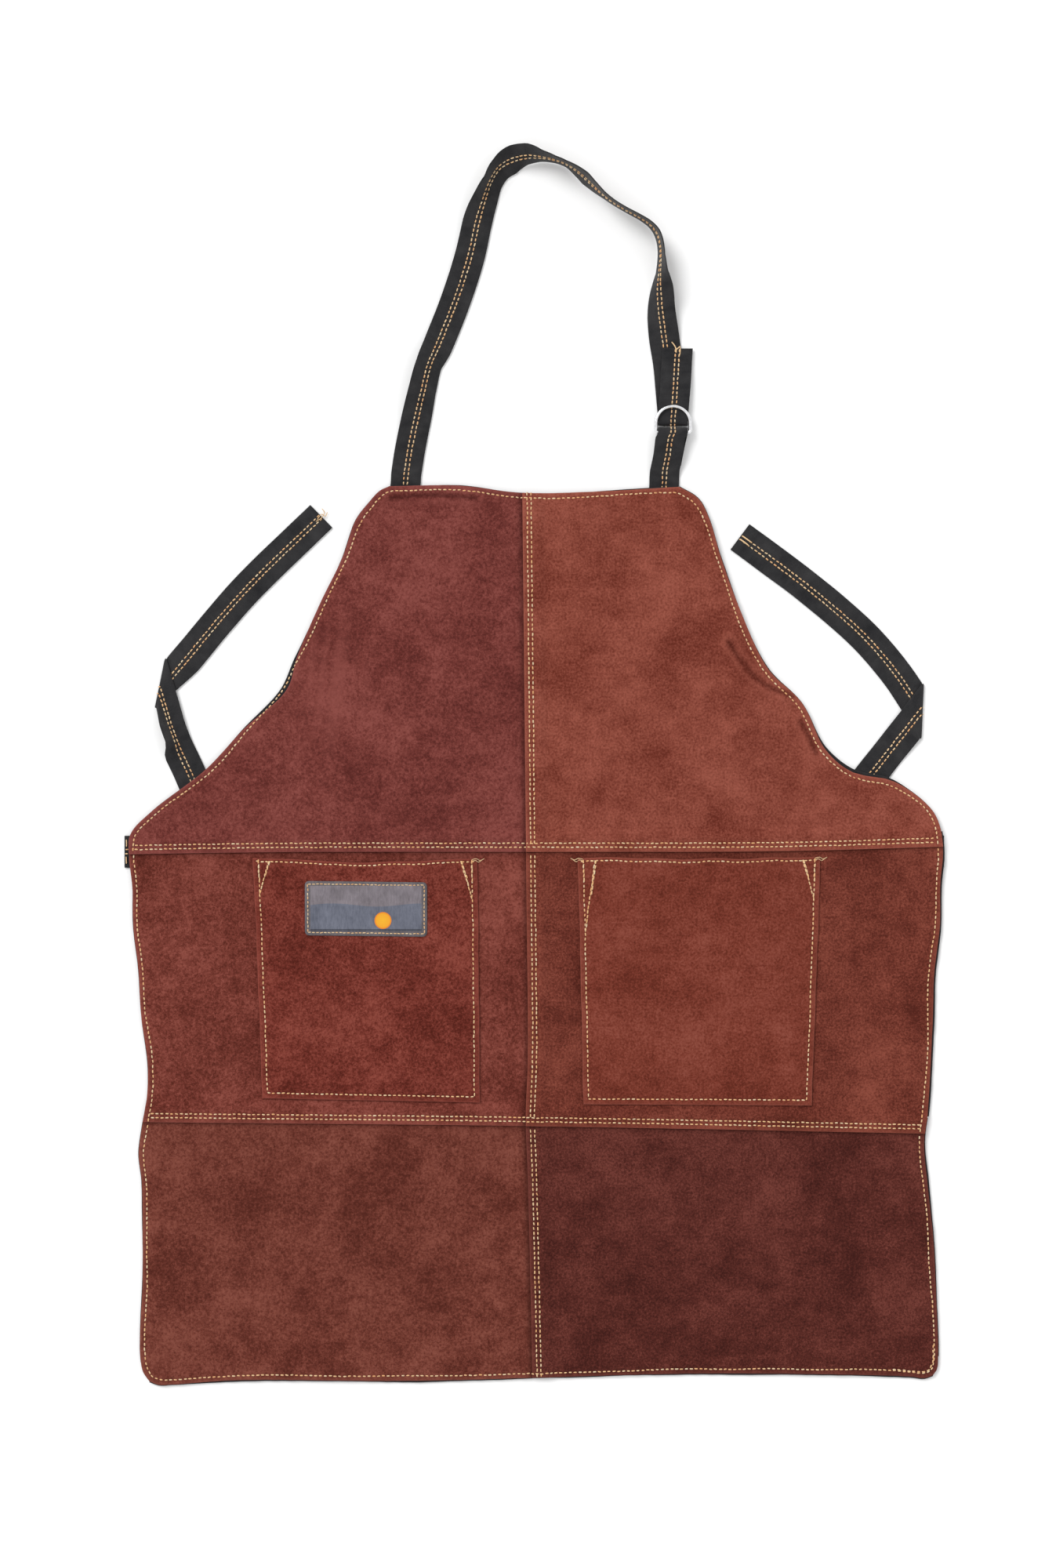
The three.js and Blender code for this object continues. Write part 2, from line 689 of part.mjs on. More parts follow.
// The ends that are sewn behind the top edge.
function neckSewnEnds() {
  const ends = [
    ["neck_strap_sewn_end", -110, -106.6, strapWidth],
    ["buckle_strap_sewn_end", 106.5, 107.8, strapWidth - 0.4],
  ];
  const sewnLength = 26;
  for (const [name, lowX, highX, width] of ends) {
    const frames = [
      flatFrame(highX, neckHingeY - 4.5, strapLevel, 1, 1),
      flatFrame(lowX, neckHingeY - sewnLength, strapLevel, 1, 1),
    ];
    add(name, strapSolid(frames, width, strapThickness), colours.cloth, clothLook);
  }
}

// ---- Ties ----
// A tie leaves its sewn end, folds once behind the leather and once more where it shows,
// each time down under itself, and ends cut square. Each length has the places that it bends
// through, its level at both ends, and a distance for which it may stay at the first.
const ties = {
  left: {
    outward: -1,
    hip: [-339.6, -72],
    lengths: [
      { to: [-261, -72], low: strapLevel, high: secondLayerLevel },
      {
        bends: [[-273, -38], [-286, -6], [-297.5, 19], [-305, 41]],
        to: [-310.5, 60],
        low: strapLevel,
        high: secondLayerLevel,
        stays: 84,
      },
      { bends: [[-286, 90], [-240, 144]], to: [-176.5, 206], low: strapLevel, high: strapLevel },
    ],
  },
  right: {
    outward: 1,
    hip: [339.6, -72],
    lengths: [
      { to: [229, -72], low: strapLevel, high: secondLayerLevel },
      { to: [320.5, 44.5], low: strapLevel, high: secondLayerLevel, stays: 106 },
      { bends: [[301.5, 73.5], [274, 106], [228, 146]], to: [170.5, 189], low: strapLevel, high: strapLevel },
    ],
  },
};

// The cross-line of a tie at a distance along one of its lengths, square to it or along a crease.
function tieLine(curve, distance, level, faceUp, crease) {
  const share = clamp(distance / curve.getLength(), 0, 1);
  const middle = curve.getPointAt(share);
  const heading = curve.getTangentAt(share);
  const side = new THREE.Vector3(-heading.y, heading.x, 0).multiplyScalar(faceUp);
  const across = crease ? crease.clone() : side.clone();
  if (across.dot(side) < 0) across.negate();
  across.multiplyScalar(strapWidth / 2 / across.dot(side));
  return { middle, across, level, faceUp, heading };
}

// How far along a tie the slanting end of a crease reaches.
function creaseReach(curve, share, crease) {
  if (!crease) return 0;
  const heading = curve.getTangentAt(share);
  const side = new THREE.Vector3(-heading.y, heading.x, 0);
  return Math.abs(crease.dot(heading) / crease.dot(side)) * (strapWidth / 2) + 2;
}

// Cross-lines of one length between two folds.
function lengthLines(curve, { low, high, stays = 0 }, faceUp, creaseStart, creaseEnd) {
  const length = curve.getLength();
  const from = Math.max(creaseReach(curve, 0, creaseStart), stays);
  const to = length - creaseReach(curve, 1, creaseEnd);
  const lines = [tieLine(curve, 0, low, faceUp, creaseStart)];
  if (creaseStart && stays > 0) {
    const start = creaseReach(curve, 0, creaseStart);
    const flatSteps = 3;
    for (let n = 0; n < flatSteps; n += 1) {
      lines.push(tieLine(curve, lerp(start, from, n / flatSteps), low, faceUp, null));
    }
  }
  const steps = Math.max(1, Math.round((to - from) / 24));
  for (let n = from > 0 ? 0 : 1; n <= steps; n += 1) {
    lines.push(tieLine(curve, lerp(from, to, n / steps), lerp(low, high, n / steps), faceUp, null));
  }
  if (creaseEnd) lines.push(tieLine(curve, length, high, faceUp, creaseEnd));
  return lines;
}

// Half a turn down under itself, from the last cross-line to the level of the next length.
function foldLines(last, nextLevel) {
  const crease = last.across.clone().normalize();
  const out = last.heading.clone().addScaledVector(crease, -last.heading.dot(crease)).normalize();
  const steps = 6;
  const radius = (last.level - nextLevel) / 2;
  const lines = [];
  for (let step = 1; step < steps; step += 1) {
    const turn = (Math.PI * step) / steps;
    lines.push({
      middle: last.middle.clone().addScaledVector(out, radius * Math.sin(turn)),
      across: last.across.clone(),
      level: last.level - radius * (1 - Math.cos(turn)),
      tilt: { out, turn },
      faceUp: last.faceUp,
    });
  }
  return lines;
}

function tieCrossLines({ outward, hip, lengths }) {
  let from = [outward * (tieHingeX - 0.4), hip[1]];
  const curves = lengths.map(({ bends = [], to }) => {
    const curve = smoothCurve([from, ...bends, to]);
    from = to;
    return curve;
  });
  const creases = curves.slice(1).map((curve, n) => {
    return curves[n].getTangentAt(1).add(curve.getTangentAt(0)).normalize();
  });
  const lines = [];
  curves.forEach((curve, n) => {
    const faceUp = n % 2 === 0 ? 1 : -1;
    const isLast = n === curves.length - 1;
    const creaseEnd = isLast ? null : creases[n];
    lines.push(...lengthLines(curve, lengths[n], faceUp, n > 0 ? creases[n - 1] : null, creaseEnd));
    if (!isLast) lines.push(...foldLines(lines[lines.length - 1], lengths[n + 1].low));
  });
  return lines;
}

function tie(side, shape) {
  const lines = tieCrossLines(shape);
  const slab = shapedSlab(lines.length - 1, 1, (i, j, k) => {
    const { middle, across, level, tilt, faceUp } = lines[i];
    const thickness = strapThickness * (k - 0.5);
    const face = new THREE.Vector3(0, 0, faceUp);
    if (tilt) {
      face.multiplyScalar(Math.cos(tilt.turn)).addScaledVector(tilt.out, faceUp * Math.sin(tilt.turn));
    }
    const place = middle.clone().setZ(level);
    place.addScaledVector(across, 2 * (j - 0.5)).addScaledVector(face, thickness);
    return place.toArray();
  });
  add("tie_" + side, slab, colours.cloth, clothLook);
  const frames = [
    { at: new THREE.Vector3(shape.hip[0], shape.hip[1], strapLevel) },
    { at: new THREE.Vector3(shape.outward * (tieHingeX + 0.4), shape.hip[1], strapLevel) },
  ];
  for (const frame of frames) {
    frame.side = new THREE.Vector3(0, -shape.outward, 0);
    frame.face = new THREE.Vector3(0, 0, 1);
  }
  add("tie_sewn_end_" + side, strapSolid(frames, strapWidth, strapThickness), colours.cloth, clothLook);
}

leatherPanels();
facings();
edgeThreads();
seamThreads();
pocketsAndThreads();
labelPatch();
labelThread();
neckStrap();
buckleStrap();
dRing("d_ring_lower", lowerRingZ);
dRing("d_ring_upper", upperRingZ);
neckSewnEnds();
tie("left", ties.left);
tie("right", ties.right);

export default apron;
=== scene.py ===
import json
import math

import bpy
import numpy as np
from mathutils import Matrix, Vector, kdtree

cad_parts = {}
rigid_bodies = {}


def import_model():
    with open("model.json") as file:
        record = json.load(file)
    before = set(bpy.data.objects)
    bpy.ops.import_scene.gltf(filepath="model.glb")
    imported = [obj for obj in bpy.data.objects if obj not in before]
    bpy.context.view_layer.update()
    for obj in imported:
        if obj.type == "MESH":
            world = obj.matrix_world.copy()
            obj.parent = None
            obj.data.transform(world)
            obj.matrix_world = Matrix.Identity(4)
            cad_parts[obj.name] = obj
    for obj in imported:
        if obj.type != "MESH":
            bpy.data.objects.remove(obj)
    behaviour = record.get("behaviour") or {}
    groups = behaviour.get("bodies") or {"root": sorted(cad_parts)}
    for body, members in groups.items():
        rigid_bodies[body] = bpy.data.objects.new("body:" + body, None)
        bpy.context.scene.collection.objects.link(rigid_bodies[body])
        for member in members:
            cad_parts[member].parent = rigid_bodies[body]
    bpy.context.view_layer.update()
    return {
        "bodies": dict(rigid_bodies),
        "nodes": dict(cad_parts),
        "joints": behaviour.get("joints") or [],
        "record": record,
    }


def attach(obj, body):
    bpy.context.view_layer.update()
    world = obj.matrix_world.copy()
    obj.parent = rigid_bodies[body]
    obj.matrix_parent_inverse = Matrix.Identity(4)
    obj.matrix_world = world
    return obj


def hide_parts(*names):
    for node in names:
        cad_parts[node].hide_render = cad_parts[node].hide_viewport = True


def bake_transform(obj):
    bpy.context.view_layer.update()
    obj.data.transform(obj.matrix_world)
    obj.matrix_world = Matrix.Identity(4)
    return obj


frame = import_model()

# A split-leather welding apron lying flat, front face up. Shapes are worked out in millimetres
# in the frame's axes, and turned into metres when their mesh is made.
MM = 0.001

# ---- Driving dimensions, as in the CAD ----
LEATHER = 1.4
STRAP_WIDTH = 25
STRAP = 1.4
TAPE = 1.4
TAPE_WIDTH = 13
GAP = 0.3
PITCH = LEATHER + GAP
RING_WIRE = 2.6
RING_WIDTH = 31
RING_HEIGHT = 24
LABEL = 0.8
STRAP_LEVEL = STRAP / 2
SECOND_LEVEL = STRAP * 1.5 + GAP
UPPER_BASE = 2 * (STRAP + GAP)
LOWER_BASE = TAPE + GAP

LAP_TONGUE = 6
LAP_CUT = 5.6
LAP_STRIP = 13
LAP_RAMP = 6
ROW_SPACING = 3.3
LAP_ROWS = (LAP_CUT - ROW_SPACING / 2, LAP_CUT + ROW_SPACING / 2)

# Where fabric turns from one body to the next, in metres.
BIB_FOLD = ("waist", "bib", (0, -0.085, 0), (0, -0.063, 0))
SKIRT_FOLD = ("waist", "skirt", (0, -0.2955, 0), (0, -0.3175, 0))
NECK_FOLD = ("bib", "neck_loop", (0, 0.230, 0), (0, 0.246, 0))
TIE_FOLDS = {
    "left": ("waist", "tie_left", (-0.330, 0, 0), (-0.314, 0, 0)),
    "right": ("waist", "tie_right", (0.330, 0, 0), (0.314, 0, 0)),
}


# ---- Curves and random fields ----
def smooth_curve(points, per_span=24):
    """Dense points of a centripetal Catmull-Rom curve through the given points."""
    p = np.array(points, float)
    p = np.vstack([2 * p[0] - p[1], p, 2 * p[-1] - p[-2]])
    dense = []
    for a, b, c, d in zip(p[:-3], p[1:-2], p[2:-1], p[3:]):
        knots = np.cumsum([0] + [math.dist(u, v) ** 0.5 for u, v in ((a, b), (b, c), (c, d))])
        t = np.linspace(knots[1], knots[2], per_span, endpoint=False)[:, None]

        def between(start, end, i, j):
            return start + (end - start) * (t - knots[i]) / (knots[j] - knots[i])

        ab, bc, cd = between(a, b, 0, 1), between(b, c, 1, 2), between(c, d, 2, 3)
        dense.append(between(between(ab, bc, 0, 2), between(bc, cd, 1, 3), 1, 2))
    dense.append(p[-2:-1])
    return np.vstack(dense)


def arc_lengths(curve):
    """How far along a curve each of its points is."""
    steps = np.linalg.norm(np.diff(curve, axis=0), axis=1)
    return np.concatenate([[0], np.cumsum(steps)])


def spaced(curve, step):
    """The curve again, with its points about a step apart."""
    lengths = arc_lengths(curve)
    stops = np.linspace(0, lengths[-1], max(2, round(lengths[-1] / step) + 1))
    return np.stack([np.interp(stops, lengths, column) for column in curve.T], 1)


def along(known, wanted, curve):
    """One coordinate of a curve as a function of another."""
    order = np.argsort(curve[:, known])
    return lambda value: np.interp(value, curve[order, known], curve[order, wanted])


def ramp(value):
    """0 below 0, 1 above 1, and a soft rise between."""
    t = np.clip(value, 0, 1)
    return t * t * (3 - 2 * t)


def near(distance, reach, fade):
    """1 within reach of something, and softly down to 0 over the fade past it."""
    return ramp((reach + fade - distance) / fade)


def bell(value, width):
    """1 at 0, falling away evenly on both sides."""
    return np.exp(-((value / width) ** 2))


def random_field(size, seed):
    """A smooth random height over the plane, mostly between -1 and 1, its hills about size across."""
    waves = 11
    rng = np.random.default_rng(seed)
    angles = rng.uniform(0, 2 * math.pi, waves)
    lengths = size * rng.uniform(1.2, 3, waves)
    phases = rng.uniform(0, 2 * math.pi, waves)

    def field(x, y):
        total = 0
        for angle, length, phase in zip(angles, lengths, phases):
            distance = x * math.cos(angle) + y * math.sin(angle)
            total = total + np.sin(distance * 2 * math.pi / length + phase)
        return total / math.sqrt(2 * waves)

    return field


# ---- The outline and the seam lines ----
LEFT_SIDE = smooth_curve([
    (-318.5, -510.5), (-324, -502.5), (-326.4, -488), (-326.3, -468), (-324.3, -430), (-324.3, -385),
    (-325, -345), (-327.6, -322), (-325, -301), (-320.6, -273), (-320.2, -246), (-325.4, -208),
    (-327.8, -168), (-331.8, -134), (-332.6, -102), (-335.4, -74), (-334, -57), (-316, -38), (-272, -4),
    (-240, 30), (-205, 62), (-196, 90), (-177, 134), (-159, 171), (-147.5, 203), (-136.5, 217.5),
    (-127.5, 227), (-120, 230.5),
])
RIGHT_SIDE = smooth_curve([
    (330, -505.5), (333.6, -500), (334.4, -488), (332.8, -440), (330.4, -393), (325.4, -345), (322.8, -314),
    (326, -284), (330, -208), (331, -174), (335.8, -132), (336, -100), (338, -67), (331, -40),
    (298, -14), (263, -6), (241, 12.5), (222, 50.5), (193, 80), (171, 126.5), (154, 173),
    (145, 203), (136, 220), (120, 230),
])
TOP = smooth_curve([(-120, 230.5), (-62, 231), (-10, 225), (50, 226), (120, 230)])
HEM = smooth_curve([
    (-318.5, -510.5), (-311, -513.4), (-300, -513.2), (-245, -509.5), (-100, -510), (140, -504),
    (310, -506.4), (323, -507.8), (330, -505.5),
])
OUTLINE = spaced(np.vstack([LEFT_SIDE, TOP[1:], RIGHT_SIDE[-2::-1], HEM[-2::-1]]), 0.5)

CENTRE_SEAM = smooth_curve([(-4.4, 231), (-1, -100), (0.2, -243), (-1.5, -292), (0.2, -341), (4.2, -512)])
UPPER_SEAM = smooth_curve([(-340, -68.6), (-222, -66.8), (0, -66.5), (200, -66), (340, -62.2)])
LOWER_SEAM = smooth_curve([(-340, -290), (0, -293.5), (340, -300)])

left_x = along(1, 0, LEFT_SIDE)
right_x = along(1, 0, RIGHT_SIDE)
top_y = along(0, 1, TOP)
hem_y = along(0, 1, HEM)
centre_x = along(1, 0, CENTRE_SEAM)
upper_seam_y = along(0, 1, UPPER_SEAM)
lower_seam_y = along(0, 1, LOWER_SEAM)


def tree_of(curve):
    """A search tree that finds the nearest point of a curve."""
    tree = kdtree.KDTree(len(curve))
    for number, place in enumerate(curve):
        tree.insert((*place, 0), number)
    tree.balance()
    return tree


def tree_distance(tree, x, y):
    """Distance of each place from the nearest point in a search tree."""
    places = zip(np.ravel(x), np.ravel(y))
    found = [tree.find((a, b, 0))[2] for a, b in places]
    return np.array(found).reshape(np.shape(x))


OUTLINE_TREE = tree_of(OUTLINE)


def edge_distance(x, y):
    """Distance of each place from the apron's outline."""
    return tree_distance(OUTLINE_TREE, x, y)


# ---- Relief: how the leather lies ----
broad_waves = random_field(70, 11)
small_waves = random_field(24, 12)
ripples = random_field(7, 13)
inset_wander = random_field(45, 14)
BROAD_HEIGHT = 0.75
SMALL_HEIGHT = 0.26
RIPPLE_HEIGHT = 0.38
SEAM_PUCKER = 0.7
SEWN_FLATTENING = 0.45
EDGE_INSET = 3.9
INSET_WANDER = 0.8
ROW_GROOVE = 0.3
GROOVE_WIDTH = 1.0

# The left armhole was sewn off its leather for a short way, so that its tape shows in a crescent.
CRESCENT_Y = 64
CRESCENT_LENGTH = 24
CRESCENT_SHIFT = 6.4
CRESCENT_SIDE_X = -150

# Beside the right hip the armhole's tape stands out widest.
WIDE_TAPE_X, WIDE_TAPE_Y = 262, 0
WIDE_TAPE_WIDTH, WIDE_TAPE_HEIGHT = 40, 30
WIDE_TAPE_SIDE_X = 200

# Creases in the bib: two at the right armhole and the mark of the strap end that is sewn behind its top.
CREASES = (
    [(161, 101.5), (170, 88), (180.5, 74.5), (194, 64.5), (213.5, 57)],
    [(221, 35), (228, 22), (233, 10)],
    [(-118, 220.5), (-96, 222.5), (-72, 222.5), (-48, 220.5)],
)
CREASE_TREE = tree_of(np.vstack([spaced(smooth_curve(line), 1.0) for line in CREASES]))
CREASE_DEPTH = 1.1
CREASE_WIDTH = 2.0
RIDGE_PLACE = 4.8
RIDGE_SHARE = 0.7


def crescent(x, y):
    """1 in the middle of the left armhole's missed stretch, 0 away from it."""
    return np.where(x < CRESCENT_SIDE_X, bell(y - CRESCENT_Y, CRESCENT_LENGTH), 0)


def wide_tape(x, y):
    """1 where the right armhole's tape stands out widest, 0 away from there."""
    near_hip = bell(x - WIDE_TAPE_X, WIDE_TAPE_WIDTH) * bell(y - WIDE_TAPE_Y, WIDE_TAPE_HEIGHT)
    return np.where(x > WIDE_TAPE_SIDE_X, near_hip, 0)


def edge_inset(x, y):
    """How far inside the outline the edge row of stitches runs."""
    return EDGE_INSET + INSET_WANDER * inset_wander(x, y) - CRESCENT_SHIFT * crescent(x, y)


def crease_depth(x, y):
    """How deep the leather dips at each place; a low ridge runs beside each crease."""
    gap = tree_distance(CREASE_TREE, x, y)
    return CREASE_DEPTH * (bell(gap, CREASE_WIDTH) - RIDGE_SHARE * bell(gap - RIDGE_PLACE, CREASE_WIDTH))


def seam_distance(x, y):
    """Distance from the nearest of the three seam lines."""
    gaps = [np.abs(y - upper_seam_y(x)), np.abs(y - lower_seam_y(x)), np.abs(x - centre_x(y))]
    return np.minimum(np.minimum(gaps[0], gaps[1]), gaps[2])


def relief(x, y, from_edge):
    """How far the leather stands above its lowest level; the same for every layer at a place."""
    waves = BROAD_HEIGHT * (1 + broad_waves(x, y)) + SMALL_HEIGHT * (1 + small_waves(x, y))
    near_edge = near(from_edge, 5.4, 9)
    near_seam = near(seam_distance(x, y), 6, 12)
    sewn = np.maximum(near_edge, SEAM_PUCKER * near_seam)
    height = waves * (1 - SEWN_FLATTENING * sewn) + RIPPLE_HEIGHT * sewn * (1 + ripples(x, y))
    return np.maximum(height - crease_depth(x, y), 0)


def leather_base(y):
    """The leather lies a strap's thickness higher over the straps than over the skirt."""
    slope_foot, slope_top = -250, -90
    share = np.clip((y - slope_foot) / (slope_top - slope_foot), 0, 1)
    return LOWER_BASE + (UPPER_BASE - LOWER_BASE) * share


def lap_share(from_cut):
    """How much of a layer a lapping panel has to climb, by the distance from its cut edge."""
    return near(from_cut, LAP_STRIP, LAP_RAMP)


class Panel:
    """One piece of leather: its column, its lower and upper edges, and whether its lower edge laps over."""

    def __init__(self, is_right, bottom, top, laps_over):
        self.is_right = is_right
        self.bottom = bottom
        self.top = top
        self.laps_over = laps_over

    def from_centre_cut(self, x, y):
        """Distance to the right of the centre lap's cut edge."""
        return x - centre_x(y) + LAP_CUT

    def underside(self, x, y, from_edge):
        """The back of the leather, raised where it laps over its neighbours."""
        level = leather_base(y) + relief(x, y, from_edge)
        if self.is_right:
            level = level + PITCH * lap_share(self.from_centre_cut(x, y))
        if self.laps_over:
            level = level + PITCH * lap_share(y - self.bottom(x))
        return level

    def row_gaps(self, x, y, from_edge):
        """Distance from each row of stitches through this panel."""
        gaps = [from_edge - edge_inset(x, y)]
        for row in LAP_ROWS:
            if self.is_right:
                gaps.append(self.from_centre_cut(x, y) - row)
            if self.laps_over:
                gaps.append(y - self.bottom(x) - row)
        return gaps

    def surface(self, x, y, from_edge):
        """The front of the leather, pulled in along its rows of stitches."""
        grooves = sum(bell(gap, GROOVE_WIDTH) for gap in self.row_gaps(x, y, from_edge))
        pulled = ROW_GROOVE * np.minimum(grooves, 1)
        return self.underside(x, y, from_edge) + LEATHER - pulled


def cut_line(seam_y):
    """The cut edge of an upper panel, below the seam's stitches."""
    return lambda x: seam_y(x) - LAP_CUT


def tongue_line(seam_y, is_right):
    """The hidden edge of a lower panel; a right-hand one stops short of the centre lap."""

    def line(x):
        past_cut = x - centre_x(seam_y(x)) + LAP_CUT
        on_lap = np.clip((LAP_STRIP + LAP_RAMP - past_cut) / LAP_RAMP, 0, 1) if is_right else 0
        high = seam_y(x) + LAP_TONGUE
        return high + (seam_y(x) - LAP_CUT - GAP - high) * on_lap

    return line


def apron_panels():
    """The six panels, by section and column."""
    panels = {}
    for column in ("left", "right"):
        on_right = column == "right"
        waist_top = tongue_line(upper_seam_y, on_right)
        skirt_top = tongue_line(lower_seam_y, on_right)
        panels["bib", column] = Panel(on_right, cut_line(upper_seam_y), top_y, True)
        panels["waist", column] = Panel(on_right, cut_line(lower_seam_y), waist_top, True)
        panels["skirt", column] = Panel(on_right, hem_y, skirt_top, False)
    return panels


PANELS = apron_panels()


def section_heights(section, x, y):
    """Underside and front of a section of the apron at each place."""
    from_edge = edge_distance(x, y)
    on_right = x > centre_x(y) - LAP_CUT
    left, right = PANELS[section, "left"], PANELS[section, "right"]
    underside = np.where(on_right, right.underside(x, y, from_edge), left.underside(x, y, from_edge))
    front = np.where(on_right, right.surface(x, y, from_edge), left.surface(x, y, from_edge))
    return underside, front


# ---- Meshes ----
def slab_faces(rows, columns):
    """Quads of a closed slab: its top grid, its bottom grid and the walls round them."""
    count = rows * columns
    index = np.arange(count).reshape(rows, columns)

    def quads(grid):
        corners = [grid[:-1, :-1], grid[1:, :-1], grid[1:, 1:], grid[:-1, 1:]]
        return np.stack(corners, -1).reshape(-1, 4)

    rim = np.concatenate([index[:, 0], index[-1, 1:], index[-2::-1, -1], index[0, -2:0:-1]])
    following = np.roll(rim, -1)
    walls = np.stack([rim + count, following + count, following, rim], -1)
    return np.vstack([quads(index), quads(index + count)[:, ::-1], walls])


def volume_of(points, quads):
    """Six times the volume inside the quads, negative where they face inwards."""
    a, b, c, d = (points[quads[:, n]] for n in range(4))
    return np.sum(a * np.cross(b, c)) + np.sum(a * np.cross(c, d))


def make_piece(name, points, faces, flat, material, values=None):
    """A smooth-shaded object from points in millimetres, with its flat coordinates as a UV map in metres."""
    points = np.asarray(points, float).reshape(-1, 3)
    quads = faces[0]
    if volume_of(points, quads) < 0:
        faces = [group[:, ::-1] for group in faces]
    mesh = bpy.data.meshes.new(name)
    mesh.from_pydata((points * MM).tolist(), [], [face for group in faces for face in group.tolist()])
    corners = np.empty(len(mesh.loops), np.int32)
    mesh.loops.foreach_get("vertex_index", corners)
    places = np.asarray(flat, float).reshape(-1, 2)[corners] * MM
    mesh.uv_layers.new(name="flat").uv.foreach_set("vector", places.astype(np.float32).ravel())
    for key, value in (values or {}).items():
        layer = mesh.attributes.new(key, "FLOAT", "POINT")
        layer.data.foreach_set("value", np.ravel(value).astype(np.float32))
    mesh.shade_smooth()
    mesh.materials.append(material)
    piece = bpy.data.objects.new(name, mesh)
    bpy.context.scene.collection.objects.link(piece)
    return piece


def make_slab(name, top, bottom, flat, material, values=None):
    """A closed slab from two matching grids of points; flat and values are given for one grid."""
    faces = [slab_faces(*top.shape[:2])]
    points = np.concatenate([top.reshape(-1, 3), bottom.reshape(-1, 3)])
    flat = np.concatenate([flat.reshape(-1, 2)] * 2)
    values = {key: np.concatenate([np.ravel(value)] * 2) for key, value in (values or {}).items()}
    return make_piece(name, points, faces, flat, material, values)


def settle(piece, nodes, fold=None, body=None):
    """Hides the CAD nodes that a piece stands for; with a fold given, bakes the piece's place into its mesh,
    and without one, attaches it to the body.
    """
    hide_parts(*nodes)
    if fold:
        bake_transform(piece)
    else:
        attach(piece, body)


# ---- Materials ----
SKY_STRENGTH = 0.86
SUN_STRENGTH = 1.7
LIGHT_LEVEL = 1.25


def linear(red, green, blue):
    return tuple(((v / 255 + 0.055) / 1.055) ** 2.4 for v in (red, green, blue))


def colour(red, green, blue):
    """The colour that shows as the given screen values, from 0 to 255, under this scene's light."""
    return (*(v / LIGHT_LEVEL for v in linear(red, green, blue)), 1.0)


class Look:
    """A material being built from nodes. Methods return output sockets; sizes are in millimetres."""

    def __init__(self, name, roughness, **shader_inputs):
        self.material = bpy.data.materials.new(name)
        self.material.use_nodes = True
        self.tree = self.material.node_tree
        self.shader = self.tree.nodes["Principled BSDF"]
        self.shader.inputs["Roughness"].default_value = roughness
        for key, value in shader_inputs.items():
            self.shader.inputs[key.replace("_", " ")].default_value = value
        self.flat = self.node("ShaderNodeUVMap", uv_map="flat").outputs["UV"]

    def node(self, kind, **settings):
        node = self.tree.nodes.new(kind)
        for key, value in settings.items():
            setattr(node, key, value)
        return node

    def put(self, target, value):
        if isinstance(value, bpy.types.NodeSocket):
            self.tree.links.new(value, target)
        else:
            target.default_value = value

    def math(self, operation, *values):
        node = self.node("ShaderNodeMath", operation=operation)
        for target, value in zip(node.inputs, values):
            self.put(target, value)
        return node.outputs[0]

    def sine(self, value, period):
        return self.math("SINE", self.math("MULTIPLY", value, 2 * math.pi / (period * MM)))

    def ribs(self, value, pitch):
        """Even ribs across a value, each rising from 0 to 1."""
        return self.math("MULTIPLY_ADD", self.sine(value, pitch), 0.5, 0.5)

    def flat_xy(self):
        node = self.node("ShaderNodeSeparateXYZ")
        self.put(node.inputs[0], self.flat)
        return node.outputs["X"], node.outputs["Y"]

    def stretched(self, across, up, turn=0.0):
        node = self.node("ShaderNodeMapping")
        self.put(node.inputs["Vector"], self.flat)
        node.inputs["Scale"].default_value = (1 / across, 1 / up, 1)
        node.inputs["Rotation"].default_value = (0, 0, turn)
        return node.outputs["Vector"]

    def noise(self, size, seed, detail=3.0, coords=None, rough=0.55):
        node = self.node("ShaderNodeTexNoise", noise_dimensions="4D")
        self.put(node.inputs["Vector"], self.flat if coords is None else coords)
        self.put(node.inputs["W"], float(seed))
        self.put(node.inputs["Scale"], 1 / (size * MM))
        self.put(node.inputs["Detail"], detail)
        self.put(node.inputs["Roughness"], rough)
        return node.outputs["Fac"]

    def mixture(self, *weighted):
        """0.5, plus each noise's distance from 0.5 times its weight."""
        total = 0.5 - 0.5 * sum(weight for _, weight in weighted)
        for value, weight in weighted:
            total = self.math("MULTIPLY_ADD", value, weight, total)
        return total

    def shades(self, value, *stops):
        node = self.node("ShaderNodeValToRGB")
        self.put(node.inputs["Fac"], value)
        steps = node.color_ramp.elements
        while len(steps) < len(stops):
            steps.new(0.5)
        for step, (position, shade) in zip(steps, stops):
            step.position = position
            step.color = shade
        return node.outputs["Color"]

    def mix(self, share, first, second):
        node = self.node("ShaderNodeMix", data_type="RGBA")
        self.put(node.inputs[0], share)
        self.put(node.inputs[6], first)
        self.put(node.inputs[7], second)
        return node.outputs[2]

    def value_of(self, key):
        return self.node("ShaderNodeAttribute", attribute_name=key).outputs["Fac"]

    def bump(self, height, depth, strength):
        node = self.node("ShaderNodeBump")
        self.put(node.inputs["Height"], height)
        self.put(node.inputs["Distance"], depth * MM)
        self.put(node.inputs["Strength"], strength)
        self.put(self.shader.inputs["Normal"], node.outputs["Normal"])

    def paint(self, shade):
        self.put(self.shader.inputs["Base Color"], shade)


